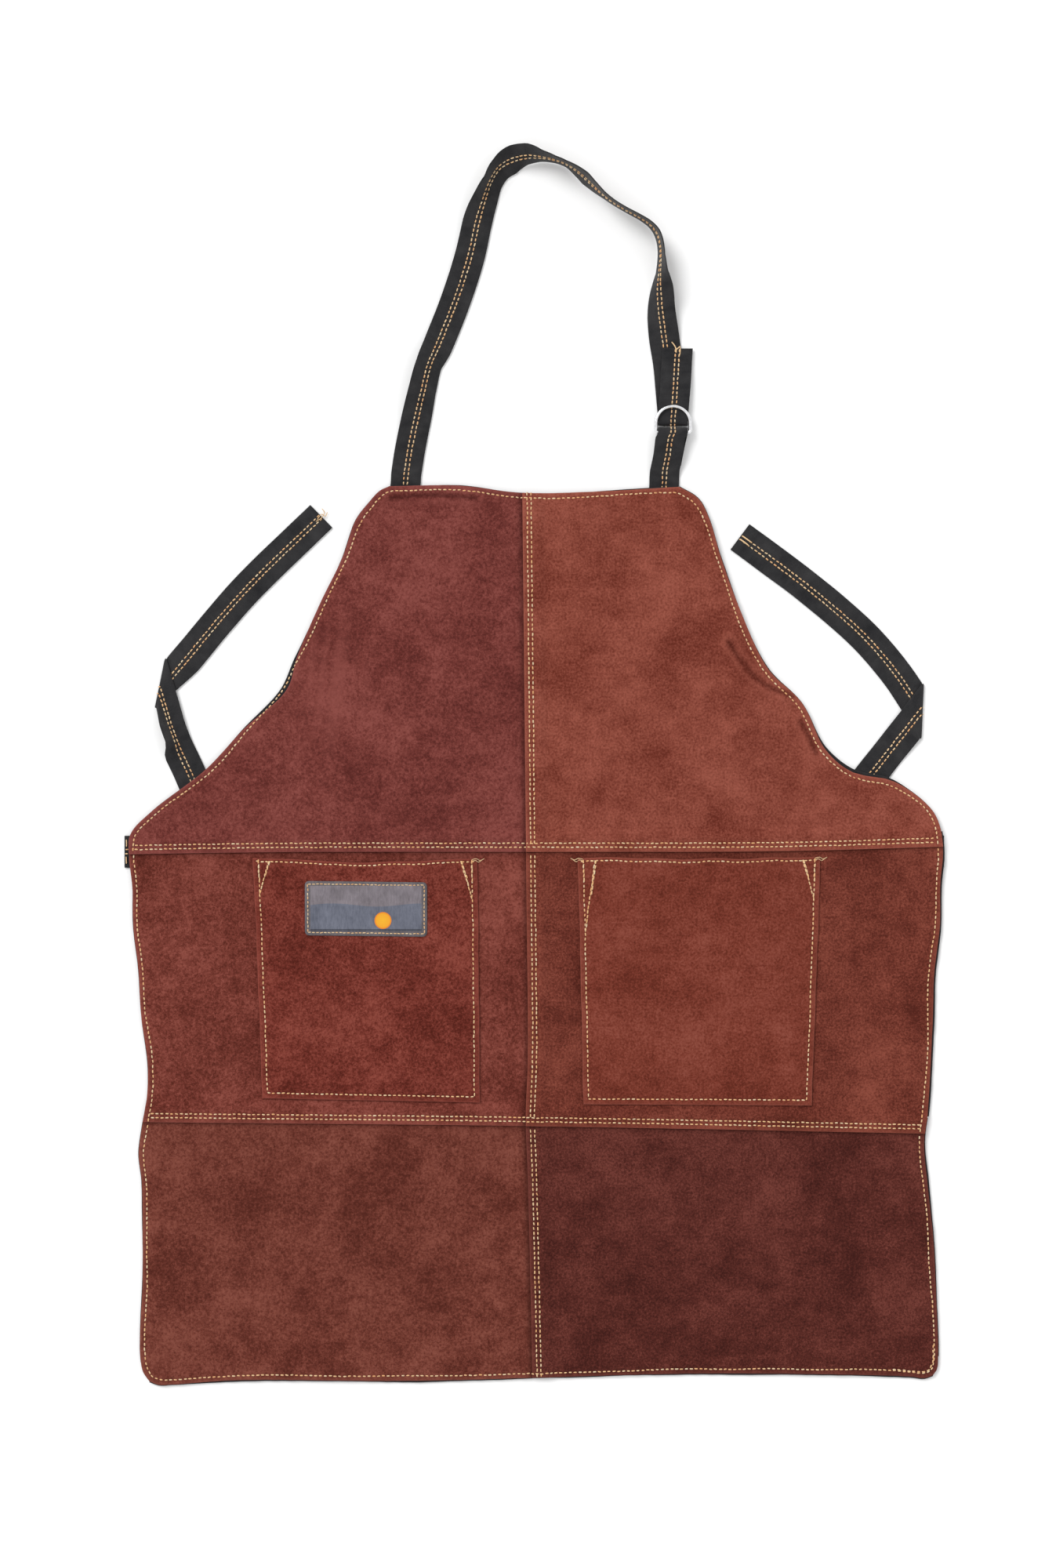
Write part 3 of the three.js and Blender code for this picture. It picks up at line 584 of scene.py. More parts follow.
def suede_look(name, seed, dark, middle, light):
    """Napped split leather: broad patches, finger marks, fine grain and paler wear at the cut edges, with a
    painted highlight on the ridges beside creases and painted shade along the rows, in the creases and under
    lapped edges.
    """
    look = Look(name, 0.95, Sheen_Weight=0.03, Sheen_Roughness=0.5, Specular_IOR_Level=0.08)
    patches = look.noise(62, seed, 3)
    mottling = look.noise(15, seed + 3, 6, rough=0.66)
    streaks = look.noise(9, seed + 5, 3, look.stretched(2.6, 0.8, 0.5))
    grain = look.noise(1.9, seed + 7, 4, rough=0.7)
    nap = look.noise(0.45, seed + 9, 2)
    tone = look.mixture((patches, 0.85), (mottling, 0.75), (streaks, 0.25), (grain, 1.7), (nap, 1.0))
    shade = look.shades(tone, (0.2, dark), (0.5, middle), (0.8, light))
    # Paler wear at the cut edges, and a painted highlight on the ridges beside creases, both mix towards the
    # light tone.
    wear_and_highlight = look.math("MULTIPLY", look.value_of("wear_and_highlight"), look.math("MULTIPLY_ADD", mottling, 1.2, 0.1))
    shade = look.mix(wear_and_highlight, shade, light)
    # Painted shade: a darker copy of the dark tone laid along rows of stitches, in creases and under lapped
    # edges.
    shadow_colour = (*(v * 0.45 for v in dark[:3]), 1.0)
    painted_shade = look.math("MULTIPLY", look.value_of("painted_shade"), 0.55)
    look.paint(look.mix(painted_shade, shade, shadow_colour))
    height = look.mixture((mottling, 0.9), (streaks, 0.5), (grain, 0.75), (nap, 0.4))
    look.bump(height, 1.2, 0.85)
    return look.material


def twill_look(name, dark, light, rib=0.9):
    """Black cotton twill: slanting ribs, slight fading, dust and soft creases."""
    look = Look(name, 0.85, Sheen_Weight=0.15, Specular_IOR_Level=0.2)
    x, y = look.flat_xy()
    ribs = look.ribs(look.math("ADD", x, look.math("MULTIPLY", y, 1.15)), rib)
    fade = look.noise(14, 3, 4)
    fuzz = look.noise(0.8, 5, 3, rough=0.7)
    creases = look.noise(7, 8, 3, look.stretched(2.2, 0.7))
    tone = look.mixture((fade, 1.3), (fuzz, 0.9), (creases, 0.6), (ribs, 0.16))
    shade = look.shades(tone, (0.15, dark), (0.85, light))
    lint = look.math("GREATER_THAN", look.noise(1.6, 21, 1), 0.785)
    look.paint(look.mix(look.math("MULTIPLY", lint, 0.35), shade, colour(150, 146, 140)))
    look.bump(look.mixture((ribs, 0.25), (fuzz, 0.35), (creases, 1.2)), 0.5, 0.7)
    return look.material


def thread_look():
    """Golden cream sewing thread, twisted, each stitch a little lighter or darker."""
    look = Look("sewing_thread", 0.6, Specular_IOR_Level=0.3, Sheen_Weight=0.2)
    x, y = look.flat_xy()
    plies = look.ribs(look.math("ADD", look.math("MULTIPLY", x, 1.4), y), 0.55)
    tone = look.mixture((look.value_of("shade"), 1.0), (plies, 0.22), (look.noise(0.6, 2, 2), 0.4))
    stops = ((0.05, colour(252, 186, 122)), (0.5, colour(255, 209, 152)), (0.95, colour(255, 231, 190)))
    look.paint(look.shades(tone, *stops))
    look.bump(plies, 0.12, 0.8)
    return look.material


def steel_look():
    """Bright plated wire with a little tarnish."""
    look = Look("plated_wire", 0.16, Metallic=1.0)
    tarnish = look.noise(3, 4, 4)
    look.paint(look.shades(tarnish, (0.3, (0.72, 0.73, 0.76, 1)), (0.6, (0.95, 0.95, 0.96, 1))))
    look.put(look.shader.inputs["Roughness"], look.math("MULTIPLY_ADD", tarnish, 0.22, 0.05))
    look.bump(look.noise(0.5, 9, 2, look.stretched(0.4, 4)), 0.05, 0.4)
    return look.material


LABEL_BOX = (-189.5, -141.5, -88.5, -96.5)
LABEL_BAND_Y = -115.8
LABEL_BAND_WAVE = 74
LABEL_STRIP_Y = -135.6
LABEL_DISC = (-125, -128.6, 7.0)
LABEL_BORDERS = (4.6, 4.0, 4.6, 3.4)


def label_look():
    """A woven patch: a pale band over a slate one, a plain orange disc, and fine ribs."""
    look = Look("woven_label", 0.7, Sheen_Weight=0.1, Specular_IOR_Level=0.3)
    x, y = look.flat_xy()
    weave = look.ribs(y, 0.5)
    warp = look.noise(1.1, 6, 2, look.stretched(1, 4))
    cloud = look.noise(16, 4, 3)
    tone = look.mixture((weave, 0.35), (warp, 0.7), (cloud, 0.9))

    def cloth(dark, light):
        return look.shades(tone, (0.1, colour(*dark)), (0.9, colour(*light)))

    below = look.math("ADD", y, look.math("MULTIPLY", look.sine(x, LABEL_BAND_WAVE), 1.3 * MM))
    below = look.math("LESS_THAN", below, LABEL_BAND_Y * MM)
    shade = look.mix(below, cloth((88, 81, 86), (152, 143, 150)), cloth((70, 74, 88), (128, 131, 146)))
    in_strip = look.math("LESS_THAN", y, LABEL_STRIP_Y * MM)
    shade = look.mix(in_strip, shade, cloth((44, 46, 56), (92, 94, 106)))
    left, bottom, right, top = (value * MM for value in LABEL_BOX)
    left_in, bottom_in, right_in, top_in = (value * MM for value in LABEL_BORDERS)

    def inside(low, value, high):
        return look.math("MINIMUM", look.math("SUBTRACT", value, low), look.math("SUBTRACT", high, value))

    from_sides = inside(left + left_in, x, right - right_in)
    from_ends = inside(bottom + bottom_in, y, top - top_in)
    in_border = look.math("LESS_THAN", look.math("MINIMUM", from_sides, from_ends), 0.0)
    shade = look.mix(in_border, shade, cloth((66, 62, 66), (124, 117, 121)))
    disc_x, disc_y, disc_radius = (value * MM for value in LABEL_DISC)
    across = look.math("SUBTRACT", x, disc_x)
    up = look.math("SUBTRACT", y, disc_y)
    squares = look.math("ADD", look.math("MULTIPLY", across, across), look.math("MULTIPLY", up, up))
    out = look.math("SQRT", squares)
    orange = look.shades(
        look.math("DIVIDE", out, disc_radius),
        (0.0, colour(250, 186, 40)), (0.8, colour(246, 170, 36)), (1.0, colour(232, 120, 30)),
    )
    look.paint(look.mix(look.math("LESS_THAN", out, disc_radius), shade, orange))
    look.bump(look.mixture((weave, 0.5), (warp, 0.5)), 0.12, 0.7)
    return look.material


# Each leather's seed, and its dark, middle and light tone.
SUEDE = {
    ("bib", "left"): (1, colour(90, 38, 34), colour(121, 58, 52), colour(148, 80, 73)),
    ("bib", "right"): (31, colour(104, 42, 30), colour(138, 69, 55), colour(166, 92, 76)),
    ("waist", "left"): (61, colour(88, 36, 27), colour(122, 58, 48), colour(152, 82, 71)),
    ("waist", "right"): (91, colour(84, 34, 25), colour(117, 55, 43), colour(148, 78, 63)),
    ("skirt", "left"): (121, colour(84, 36, 27), colour(115, 57, 46), colour(142, 80, 67)),
    ("skirt", "right"): (151, colour(66, 27, 22), colour(93, 43, 36), colour(122, 64, 55)),
    ("pocket", "left"): (181, colour(84, 30, 21), colour(119, 51, 41), colour(150, 76, 64)),
    ("pocket", "right"): (211, colour(98, 40, 28), colour(128, 59, 45), colour(150, 80, 66)),
}
SUEDE_LOOKS = {key: suede_look("suede_" + "_".join(key), *values) for key, values in SUEDE.items()}
TWILL = twill_look("black_twill", colour(25, 25, 28), colour(54, 53, 54))
TAPE_LOOK = twill_look("black_tape", colour(24, 23, 26), colour(48, 46, 47), rib=0.7)
THREAD = thread_look()
STEEL = steel_look()
LABEL_CLOTH = label_look()


# ---- Leather panels ----
EDGE_LINES = (0, 0.35, 0.9, 1.8, 2.7, 3.3, 4.0, 4.7, 5.5, 6.4, 7.2, 8.0, 9.4, 11.2, 13.2, 16, 19)
CELL = 2.8


def grid_lines(span):
    """Lines close together near both ends of a span, each as a fixed distance and a share of the span."""
    inner = EDGE_LINES[-1]
    count = max(2, round((span - 2 * inner) / CELL))
    shares = np.arange(1, count) / count
    lines = [(d, 0) for d in EDGE_LINES]
    lines += [(inner - 2 * inner * share, share) for share in shares]
    lines += [(-d, 1) for d in reversed(EDGE_LINES)]
    return np.array(lines, float)


def panel_places(panel, lines_across, lines_up):
    """Places of a panel's grid points: its edges bend, so x and y settle together."""
    fixed_x, share_x = (column[:, None] for column in lines_across.T)
    fixed_y, share_y = (column[None, :] for column in lines_up.T)
    middle_y = (panel.bottom(0.0) + panel.top(0.0)) / 2
    y = np.full((len(lines_across), len(lines_up)), float(middle_y))
    settle_rounds = 10
    for _ in range(settle_rounds):
        inner = centre_x(y) + (-LAP_CUT if panel.is_right else LAP_TONGUE)
        start, end = (inner, right_x(y)) if panel.is_right else (left_x(y), inner)
        x = start + fixed_x + share_x * (end - start)
        low, high = panel.bottom(x), panel.top(x)
        y = low + fixed_y + share_y * (high - low)
    return x, y


nap_streaks = random_field(7, 15)
BRUSHED_X, BRUSHED_Y = -168, 66
BRUSHED_WIDTH, BRUSHED_HEIGHT = 26, 46
BRUSHED_SLANT = 0.12


def brushed_nap(x, y):
    """Paler brushed streaks in the bib beside the left armhole."""
    share = bell(x - BRUSHED_X, BRUSHED_WIDTH) * bell(y - BRUSHED_Y, BRUSHED_HEIGHT)
    return 0.8 * share * ramp(0.5 + 0.9 * nap_streaks(x - BRUSHED_SLANT * y, 0))


def rounded_cut(from_rim):
    """How much of the front is rounded off beside a cut edge."""
    return 0.42 * bell(from_rim, 0.45)


def panel_rim(panel, x, y, from_edge):
    """Distance from the nearest cut edge that shows."""
    rims = [from_edge]
    if panel.is_right:
        rims.append(panel.from_centre_cut(x, y))
    if panel.laps_over:
        rims.append(y - panel.bottom(x))
    return np.minimum.reduce(rims)


def panel_wear_and_painted_light(section, panel, x, y, from_edge, rim):
    """How much the suede pales, from wear and from a painted highlight on crease ridges, and how much
    painted shade it has, at each place, both from 0 to 1.
    """
    creased = crease_depth(x, y) / CREASE_DEPTH
    dips, ridges = np.maximum(creased, 0), np.maximum(-creased, 0)
    rubbed_edge = bell(rim, 0.8) + 0.38 * near(rim, 1.8, 4.5)
    # Paler cut edges and brushed nap are wear; the paler ridges beside creases are a painted highlight.
    wear_and_highlight = rubbed_edge + 0.7 * ridges + brushed_nap(x, y)
    rows = np.minimum(sum(bell(gap, 0.9) for gap in panel.row_gaps(x, y, from_edge)), 1)
    # Painted shade: darker along the rows of stitches, in the creases, left of the centre lap's cut edge and
    # below an upper panel's cut edge.
    painted_shade = 0.25 * rows + 1.1 * dips
    if not panel.is_right:
        left_of_lap = np.minimum(panel.from_centre_cut(x, y), 0)
        painted_shade = painted_shade + 1.1 * bell(left_of_lap, 3.2)
    if section != "bib":
        above = cut_line(upper_seam_y if section == "waist" else lower_seam_y)
        painted_shade = painted_shade + 0.9 * bell(above(x) - y, 2.2)
    return {"wear_and_highlight": np.clip(wear_and_highlight, 0, 1), "painted_shade": np.clip(painted_shade, 0, 1)}


def leather_panel(section, column, width, height, fold):
    """One piece of leather; its width and height set only how fine its mesh is."""
    panel = PANELS[section, column]
    x, y = panel_places(panel, grid_lines(width), grid_lines(height))
    from_edge = edge_distance(x, y)
    rim = panel_rim(panel, x, y, from_edge)
    front = panel.surface(x, y, from_edge) - rounded_cut(rim)
    top = np.stack([x, y, front], -1)
    bottom = np.stack([x, y, panel.underside(x, y, from_edge)], -1)
    flat = np.stack([x, y], -1)
    name = f"{section}_panel_{column}"
    values = panel_wear_and_painted_light(section, panel, x, y, from_edge, rim)
    piece = make_slab(name + "_suede", top, bottom, flat, SUEDE_LOOKS[section, column], values)
    settle(piece, [name], fold)


def leather_panels():
    sections = (("bib", 330, 300, BIB_FOLD), ("waist", 335, 235, BIB_FOLD), ("skirt", 330, 215, SKIRT_FOLD))
    for column in ("left", "right"):
        for section, width, height, fold in sections:
            leather_panel(section, column, width, height, fold)


# ---- Facing tape ----
TAPE_SHARES = np.array([0, 0.03, 0.1, 0.3, 0.5, 0.7, 0.9, 0.97, 1])
OVERHANG_WANDER = 0.5
CRESCENT_TAPE = 4.6
WIDEST_TAPE = 2.6
HIP_Y = -70
overhang_wander = random_field(40, 21)


def side_ways(curve):
    """The unit direction to the left of a curve at each of its points."""
    heading = np.gradient(curve[:, :2], axis=0)
    heading /= np.linalg.norm(heading, axis=1)[:, None]
    return np.stack([-heading[:, 1], heading[:, 0]], 1)


def stretch_of(curve, axis, low, high):
    """The part of a curve between two values of one coordinate."""
    inside = (curve[:, axis] >= low) & (curve[:, axis] <= high)
    return curve[inside]


def tape_front(x, y):
    """The front of the facing tape, just behind the leather."""
    return leather_base(y) + relief(x, y, edge_distance(x, y)) - GAP


def tape(name, curve, inside, overhang, fold=None, body=None):
    """Facing tape behind an edge; inside is 1 where the apron is on the curve's left."""
    curve = spaced(curve, 2.5)
    out = side_ways(curve) * -inside
    x, y = curve.T
    reach = overhang + OVERHANG_WANDER * overhang_wander(x, y)
    reach = reach + CRESCENT_TAPE * crescent(x, y) + WIDEST_TAPE * wide_tape(x, y)
    offsets = reach[:, None] - TAPE_SHARES * (TAPE_WIDTH + reach[:, None])
    x = x[:, None] + out[:, :1] * offsets
    y = y[:, None] + out[:, 1:] * offsets
    front = tape_front(x, y)
    rounding = 0.4 * bell(np.minimum(TAPE_SHARES, 1 - TAPE_SHARES), 0.03)
    top = np.stack([x, y, front - rounding], -1)
    bottom = np.stack([x, y, front - TAPE + rounding], -1)
    flat = np.stack(np.broadcast_arrays(offsets, arc_lengths(curve)[:, None]), -1)
    piece = make_slab(name + "_tape", top, bottom, flat, TAPE_LOOK)
    settle(piece, [name], fold, body)


def tapes():
    past_seam = LAP_TONGUE + 2
    between = 0.4
    sides = (("left", LEFT_SIDE, -1, (0.5, 0.4, 0.1)), ("right", RIGHT_SIDE, 1, (1.0, 1.6, 0.3)))
    for column, curve, inside, overhangs in sides:
        edge_x = curve[np.argmin(np.abs(curve[:, 1] - HIP_Y)), 0]
        hip = float(upper_seam_y(edge_x)) + past_seam
        knee = float(lower_seam_y(edge_x)) + past_seam
        hem_top = float(hem_y(edge_x)) + TAPE_WIDTH + 2
        parts = (
            ("skirt", hem_top, knee - between, SKIRT_FOLD),
            ("waist", knee, hip - between, BIB_FOLD),
            ("armhole", hip, 231, BIB_FOLD),
        )
        for (part, low, high, fold), overhang in zip(parts, overhangs):
            tape(f"{part}_facing_{column}", stretch_of(curve, 1, low, high), inside, overhang, fold)
    tape("top_facing", stretch_of(TOP, 0, -110, 111), -1, 0.3, None, "bib")
    tape("hem_facing", HEM, 1, 1.2, None, "skirt")


# ---- Stitches ----
UP = np.array([0.0, 0.0, 1.0])
STITCH_PITCH = 4.0
STITCH_LENGTH = 2.8
STITCH_RADIUS = 0.55
STITCH_SIDES = 6
# Places along a stitch from end to end, and its size and how far it stands out of the cloth at each.
STITCH_STATIONS = np.array([-1, -0.8, -0.35, 0.35, 0.8, 1])
STITCH_SIZES = np.array([0.5, 0.86, 1, 1, 0.86, 0.5])
STITCH_LIFTS = np.array([-0.65, 0.05, 0.35, 0.35, 0.05, -0.65])


def unit(vectors):
    return vectors / np.linalg.norm(vectors, axis=-1, keepdims=True)


class Thread:
    """Collects stitches and loose ends that become one piece."""

    def __init__(self, seed):
        self.rng = np.random.default_rng(seed)
        self.points = []
        self.quads = []
        self.caps = []
        self.flat = []
        self.shade = []
        self.count = 0

    def tubes(self, middles, sideways, upwards, radii, shade):
        """Closed tubes along rows of middles, with a radius for each middle and a shade for each tube."""
        turns = np.arange(STITCH_SIDES) * 2 * math.pi / STITCH_SIDES
        ring = sideways[:, :, None, :] * np.cos(turns)[:, None]
        ring = ring + upwards[:, :, None, :] * np.sin(turns)[:, None]
        points = middles[:, :, None, :] + ring * radii[:, :, None, None]
        index = self.count + np.arange(points.size // 3).reshape(points.shape[:3])
        after = np.roll(index, -1, axis=2)
        corners = [index[:, :-1], after[:, :-1], after[:, 1:], index[:, 1:]]
        self.quads.append(np.stack(corners, -1).reshape(-1, 4))
        self.caps.append(np.concatenate([index[:, 0, ::-1], index[:, -1, :]]))
        self.points.append(points.reshape(-1, 3))
        steps = np.linalg.norm(np.diff(middles, axis=1), axis=2)
        lengths = np.pad(np.cumsum(steps, 1), ((0, 0), (1, 0)))
        flat = np.stack(np.broadcast_arrays(turns * STITCH_RADIUS, lengths[:, :, None]), -1)
        self.flat.append(flat.reshape(-1, 2) + self.rng.uniform(0, 50, 2))
        self.shade.append(np.broadcast_to(shade[:, None, None], index.shape).ravel())
        self.count += index.size

    def row(
        self, path, upwards=UP, pitch=STITCH_PITCH, length=STITCH_LENGTH, radius=STITCH_RADIUS, wander=0.12
    ):
        """A row of stitches along a path of surface points; upwards is the way that the cloth faces.

        Each stitch is a little off in its place, length, line, slant, thickness and shade, in that order.
        """
        upwards = np.broadcast_to(upwards, path.shape)
        lengths = arc_lengths(path)
        count = int(lengths[-1] // pitch)
        if count < 1:
            return
        draw = self.rng
        centres = (np.arange(count) + 0.5) * lengths[-1] / count
        centres = centres + draw.uniform(-0.06, 0.06, count) * pitch
        halves = length / 2 * draw.uniform(0.88, 1.1, count)
        stops = centres[:, None] + halves[:, None] * STITCH_STATIONS
        stops = np.clip(stops, 0, lengths[-1])
        middles = np.stack([np.interp(stops, lengths, column) for column in path.T], -1)
        ups = unit(np.stack([np.interp(stops, lengths, column) for column in upwards.T], -1))
        heading = unit(middles[:, -1] - middles[:, 0] + 1e-9)[:, None, :]
        sideways = unit(np.cross(ups, heading))
        shift = draw.normal(0, wander, count)[:, None]
        shift = shift + draw.normal(0, 0.1, count)[:, None] * STITCH_STATIONS
        middles = middles + sideways * shift[:, :, None]
        middles = middles + ups * (radius * STITCH_LIFTS)[:, None]
        radii = radius * STITCH_SIZES * draw.uniform(0.9, 1.1, count)[:, None]
        shade = np.clip(draw.normal(0.5, 0.22, count), 0, 1)
        self.tubes(middles, sideways, ups, radii, shade)

    def strand(self, points, radius):
        """One bare length of thread through points."""
        shade = 0.6
        path = spaced(smooth_curve(points, 8), 0.7)
        heading = unit(np.gradient(path, axis=0))
        nearly_up = (0, 0.13, 1)
        sideways = unit(np.cross(heading, nearly_up))
        ups = np.cross(sideways, heading)
        radii = np.full(len(path), radius)
        radii[[0, -1]] *= 0.5
        self.tubes(path[None], sideways[None], ups[None], radii[None], np.array([shade]))

    def piece(self, name):
        points = np.concatenate(self.points)
        faces = [np.concatenate(self.quads), np.concatenate(self.caps)]
        values = {"shade": np.concatenate(self.shade)}
        return make_piece(name + "_stitches", points, faces, np.concatenate(self.flat), THREAD, values)

    def settle_as(self, name, fold=None, body=None):
        settle(self.piece(name), [name], fold, body)


def leather_rows(thread, section, plan, taped=False):
    """A row through a section of the apron, seen on its front and on its back."""
    plan = spaced(plan, 1.0)
    x, y = plan.T
    back, front = section_heights(section, x, y)
    if taped:
        on_tape = tape_front(x, y)
        back = on_tape - TAPE
        misses_leather = edge_inset(x, y) < 0.3
        front = np.where(misses_leather, on_tape, front)
    embed = 0.04
    thread.row(np.column_stack([plan, front - embed]))
    thread.row(np.column_stack([plan, back + 2 * embed]), -UP)


def outline_row():
    """The edge row's line in plan, clockwise from the lower left corner."""
    outline = spaced(OUTLINE, 2.0)
    inset = edge_inset(*outline.T)[:, None]
    moved = outline - side_ways(outline) * inset
    reach = 3
    padded = np.vstack([moved[-reach:], moved, moved[:reach]])
    window = np.ones(2 * reach + 1) / (2 * reach + 1)
    return np.stack([np.convolve(column, window, "valid") for column in padded.T], 1)


def from_gap(plan):
    """The same points in turn, starting past the widest gap between two of them."""
    start = int(np.argmax(np.linalg.norm(np.diff(plan, axis=0), axis=1))) + 1
    return np.roll(plan, -start, axis=0)


# The edge row was sewn twice at the lower right corner.
TWICE_SEWN_X, TWICE_SEWN_Y = 296, -480
TWICE_SEWN_SHIFT = (-0.9, 0.9)


def edge_threads():
    row = outline_row()
    x, y = row.T
    is_bib = y > upper_seam_y(x) - LAP_CUT + 1
    is_skirt = y < lower_seam_y(x) - LAP_CUT - 1
    is_waist = ~is_bib & ~is_skirt
    parts = (
        ("bib_edge_thread", "bib", is_bib, BIB_FOLD),
        ("waist_edge_thread_left", "waist", is_waist & (x < 0), BIB_FOLD),
        ("waist_edge_thread_right", "waist", is_waist & (x > 0), BIB_FOLD),
        ("skirt_edge_thread", "skirt", is_skirt, SKIRT_FOLD),
    )
    for seed, (name, section, chosen, fold) in enumerate(parts):
        thread = Thread(300 + seed)
        if section != "skirt":
            leather_rows(thread, section, row[chosen], taped=True)
        else:
            plan = from_gap(row[chosen])
            leather_rows(thread, section, plan, taped=True)
            again = plan[(plan[:, 0] > TWICE_SEWN_X) & (plan[:, 1] < TWICE_SEWN_Y)]
            leather_rows(thread, section, again + TWICE_SEWN_SHIFT, taped=True)
        thread.settle_as(name, fold)


def seam_threads():
    def down(y, shift):
        return np.stack([centre_x(y) + shift, y], 1)

    def across(seam_y):
        return lambda x, shift: np.stack([x, seam_y(x) + shift], 1)

    seams = (
        ("bib_centre_thread", "bib", -66, 227, down, BIB_FOLD),
        ("waist_centre_thread", "waist", -292, -73, down, BIB_FOLD),
        ("skirt_centre_thread", "skirt", -507, -300.5, down, SKIRT_FOLD),
        ("upper_seam_thread", "bib", -331, 333, across(upper_seam_y), BIB_FOLD),
        ("lower_seam_thread", "waist", -318, 322, across(lower_seam_y), None),
    )
    for seed, (name, section, start, end, place, fold) in enumerate(seams):
        for side, suffix in enumerate(("_a", "_b")):
            thread = Thread(320 + 2 * seed + side)
            leather_rows(thread, section, place(np.arange(start, end, 2.0), (side - 0.5) * ROW_SPACING))
            thread.settle_as(name + suffix, fold, "waist")


# ---- Pockets ----
POCKETS = {
    "left": np.array([(-232.6, -76.5), (-225, -276), (-45, -279.6), (-47, -76.5)]),
    "right": np.array([(36, -76.5), (40.6, -281), (229.5, -282), (236.7, -76.5)]),
}
POCKET_INSET = 4.6
POCKET_PUFF = 2.6
POCKET_FLANK = 34
PUFF_WANDER = 0.35
FOOT_PUFF = 0.45
POCKET_RIPPLE = 0.3
RIPPLE_REACH = 8
POCKET_GROOVE = 0.4
MOUTH_INSET = 2.7
MOUTH_SAG = {"left": 3.9, "right": 1.4}
pocket_waves = random_field(38, 51)
pocket_ripples = random_field(9, 52)
mouth_wander = random_field(26, 53)


def pocket_places(column, from_left, from_bottom):
    """Places on a pocket from shares of its width and height; its edges wander a little."""
    top_left, bottom_left, bottom_right, top_right = POCKETS[column]
    u, v = from_left[..., None], from_bottom[..., None]
    low = bottom_left + (bottom_right - bottom_left) * u
    high = top_left + (top_right - top_left) * u
    places = low + (high - low) * v
    x, y = places[..., 0], places[..., 1]
    sag = MOUTH_SAG[column] * 4 * from_left * (1 - from_left)
    y = y + from_bottom**6 * (mouth_wander(x, 0) - sag)
    x = x + 0.5 * pocket_ripples(0, y / 3) * np.abs(2 * from_left - 1)
    return np.stack([x, y], -1)


def pocket_size(column):
    """A pocket's width at its mouth and its height at its left side."""
    top_left, bottom_left, _, top_right = POCKETS[column]
    return float(top_right[0] - top_left[0]), float(top_left[1] - bottom_left[1])


def pocket_heights(column, u, v, x, y):
    """Underside and front of a pocket that stands off the waist in its middle; also its rim and its rows."""
    width, height = pocket_size(column)
    across = np.minimum(u, 1 - u) * width
    sewn = np.minimum(across, v * height)
    puff = POCKET_PUFF * np.sin(np.clip((sewn - POCKET_INSET) / POCKET_FLANK, 0, 1) * math.pi / 2)
    puff = puff * (1 + PUFF_WANDER * pocket_waves(x, y)) * (FOOT_PUFF + (1 - FOOT_PUFF) * v)
    past_row = np.maximum(sewn - POCKET_INSET, 0)
    ripple = POCKET_RIPPLE * (1 + pocket_ripples(x, y)) * bell(past_row, RIPPLE_REACH)
    _, behind = section_heights("waist", x, y)
    underside = behind + GAP + np.maximum(puff, 0) + ripple
    rows = bell(sewn - POCKET_INSET, GROOVE_WIDTH) + bell((1 - v) * height - MOUTH_INSET, GROOVE_WIDTH)
    rim = np.minimum(sewn, (1 - v) * height)
    front = underside + LEATHER - POCKET_GROOVE * np.minimum(rows, 1) - rounded_cut(rim)
    return underside, front, rim, rows


def grid_shares(span):
    """The grid lines of a span as shares of it."""
    fixed, share = grid_lines(span).T
    return fixed / span + share


def pocket(column):
    width, height = pocket_size(column)
    u, v = np.meshgrid(grid_shares(width), grid_shares(height), indexing="ij")
    places = pocket_places(column, u, v)
    x, y = places[..., 0], places[..., 1]
    underside, front, rim, rows = pocket_heights(column, u, v, x, y)
    values = {
        "wear_and_highlight": np.clip(0.9 * bell(rim, 0.9) + 0.25 * near(rim, 2, 5), 0, 1),
        # Painted shade along the pocket's rows of stitches.
        "painted_shade": np.clip(0.3 * rows, 0, 1),
    }
    top = np.stack([x, y, front], -1)
    bottom = np.stack([x, y, underside], -1)
    name = "pocket_" + column
    piece = make_slab(name + "_suede", top, bottom, places, SUEDE_LOOKS["pocket", column], values)
    settle(piece, [name], None, "waist")


def pocket_path(column, shares):
    """Surface points of a pocket's row through (u, v) shares."""
    size = pocket_size(column)
    u, v = (spaced(np.array(shares, float) * size, 1.0) / size).T
    places = pocket_places(column, u, v)
    _, front, _, _ = pocket_heights(column, u, v, *places.T)
    embed = 0.05
    return np.column_stack([places, front - embed])


# The tacks at the left and right of each pocket's mouth: how far in from the side row the slanting
# leg starts, how far down it meets the row, and whether its threads hang loose.
TACKS = {"left": ((9, 30, False), (9, 34, True)), "right": ((10, 62, True), (10, 34, True))}


def loose_end(start, outwards):
    """Points of a bare thread that runs off the pocket and on to the waist panel."""
    steps = np.array([(0, 0), (4.0, 0.8), (7.0, -0.6), (10.5, 0.9)]) * (outwards, 1)
    points = np.column_stack([start[:2] + steps, np.full(len(steps), start[2])])
    _, behind = section_heights("waist", points[2:, 0], points[2:, 1])
    clear = 0.4
    points[0, 2] += clear
    points[1, 2] += clear + 0.1
    points[2:, 2] = behind + clear
    return points


def tack(thread, column, inwards, start_in, meet, is_loose):
    """Stitches that hold one end of a pocket's mouth; inwards is 1 at the left and -1 at the right."""
    width, height = pocket_size(column)
    side_u = POCKET_INSET / width if inwards > 0 else 1 - POCKET_INSET / width
    leg = pocket_path(column, [(side_u + inwards * start_in / width, 0.992), (side_u, 1 - meet / height)])
    thread.row(leg + (0, 0, 0.15), pitch=3.6, length=3.3)
    thread.row(leg[: len(leg) // 2] + (0.7, 0, 0.4), pitch=3.8, length=3.6)
    side = pocket_path(column, [(side_u, 0.9), (side_u, 0.995)])
    thread.row(side + (0.3, 0, 0.3), pitch=3.7, length=3.5)
    if is_loose:
        thread.strand(loose_end(side[-1], -inwards), 0.3)
        thread.strand(loose_end(side[-1] - (0, 1.4, 0), -0.8 * inwards), 0.3)


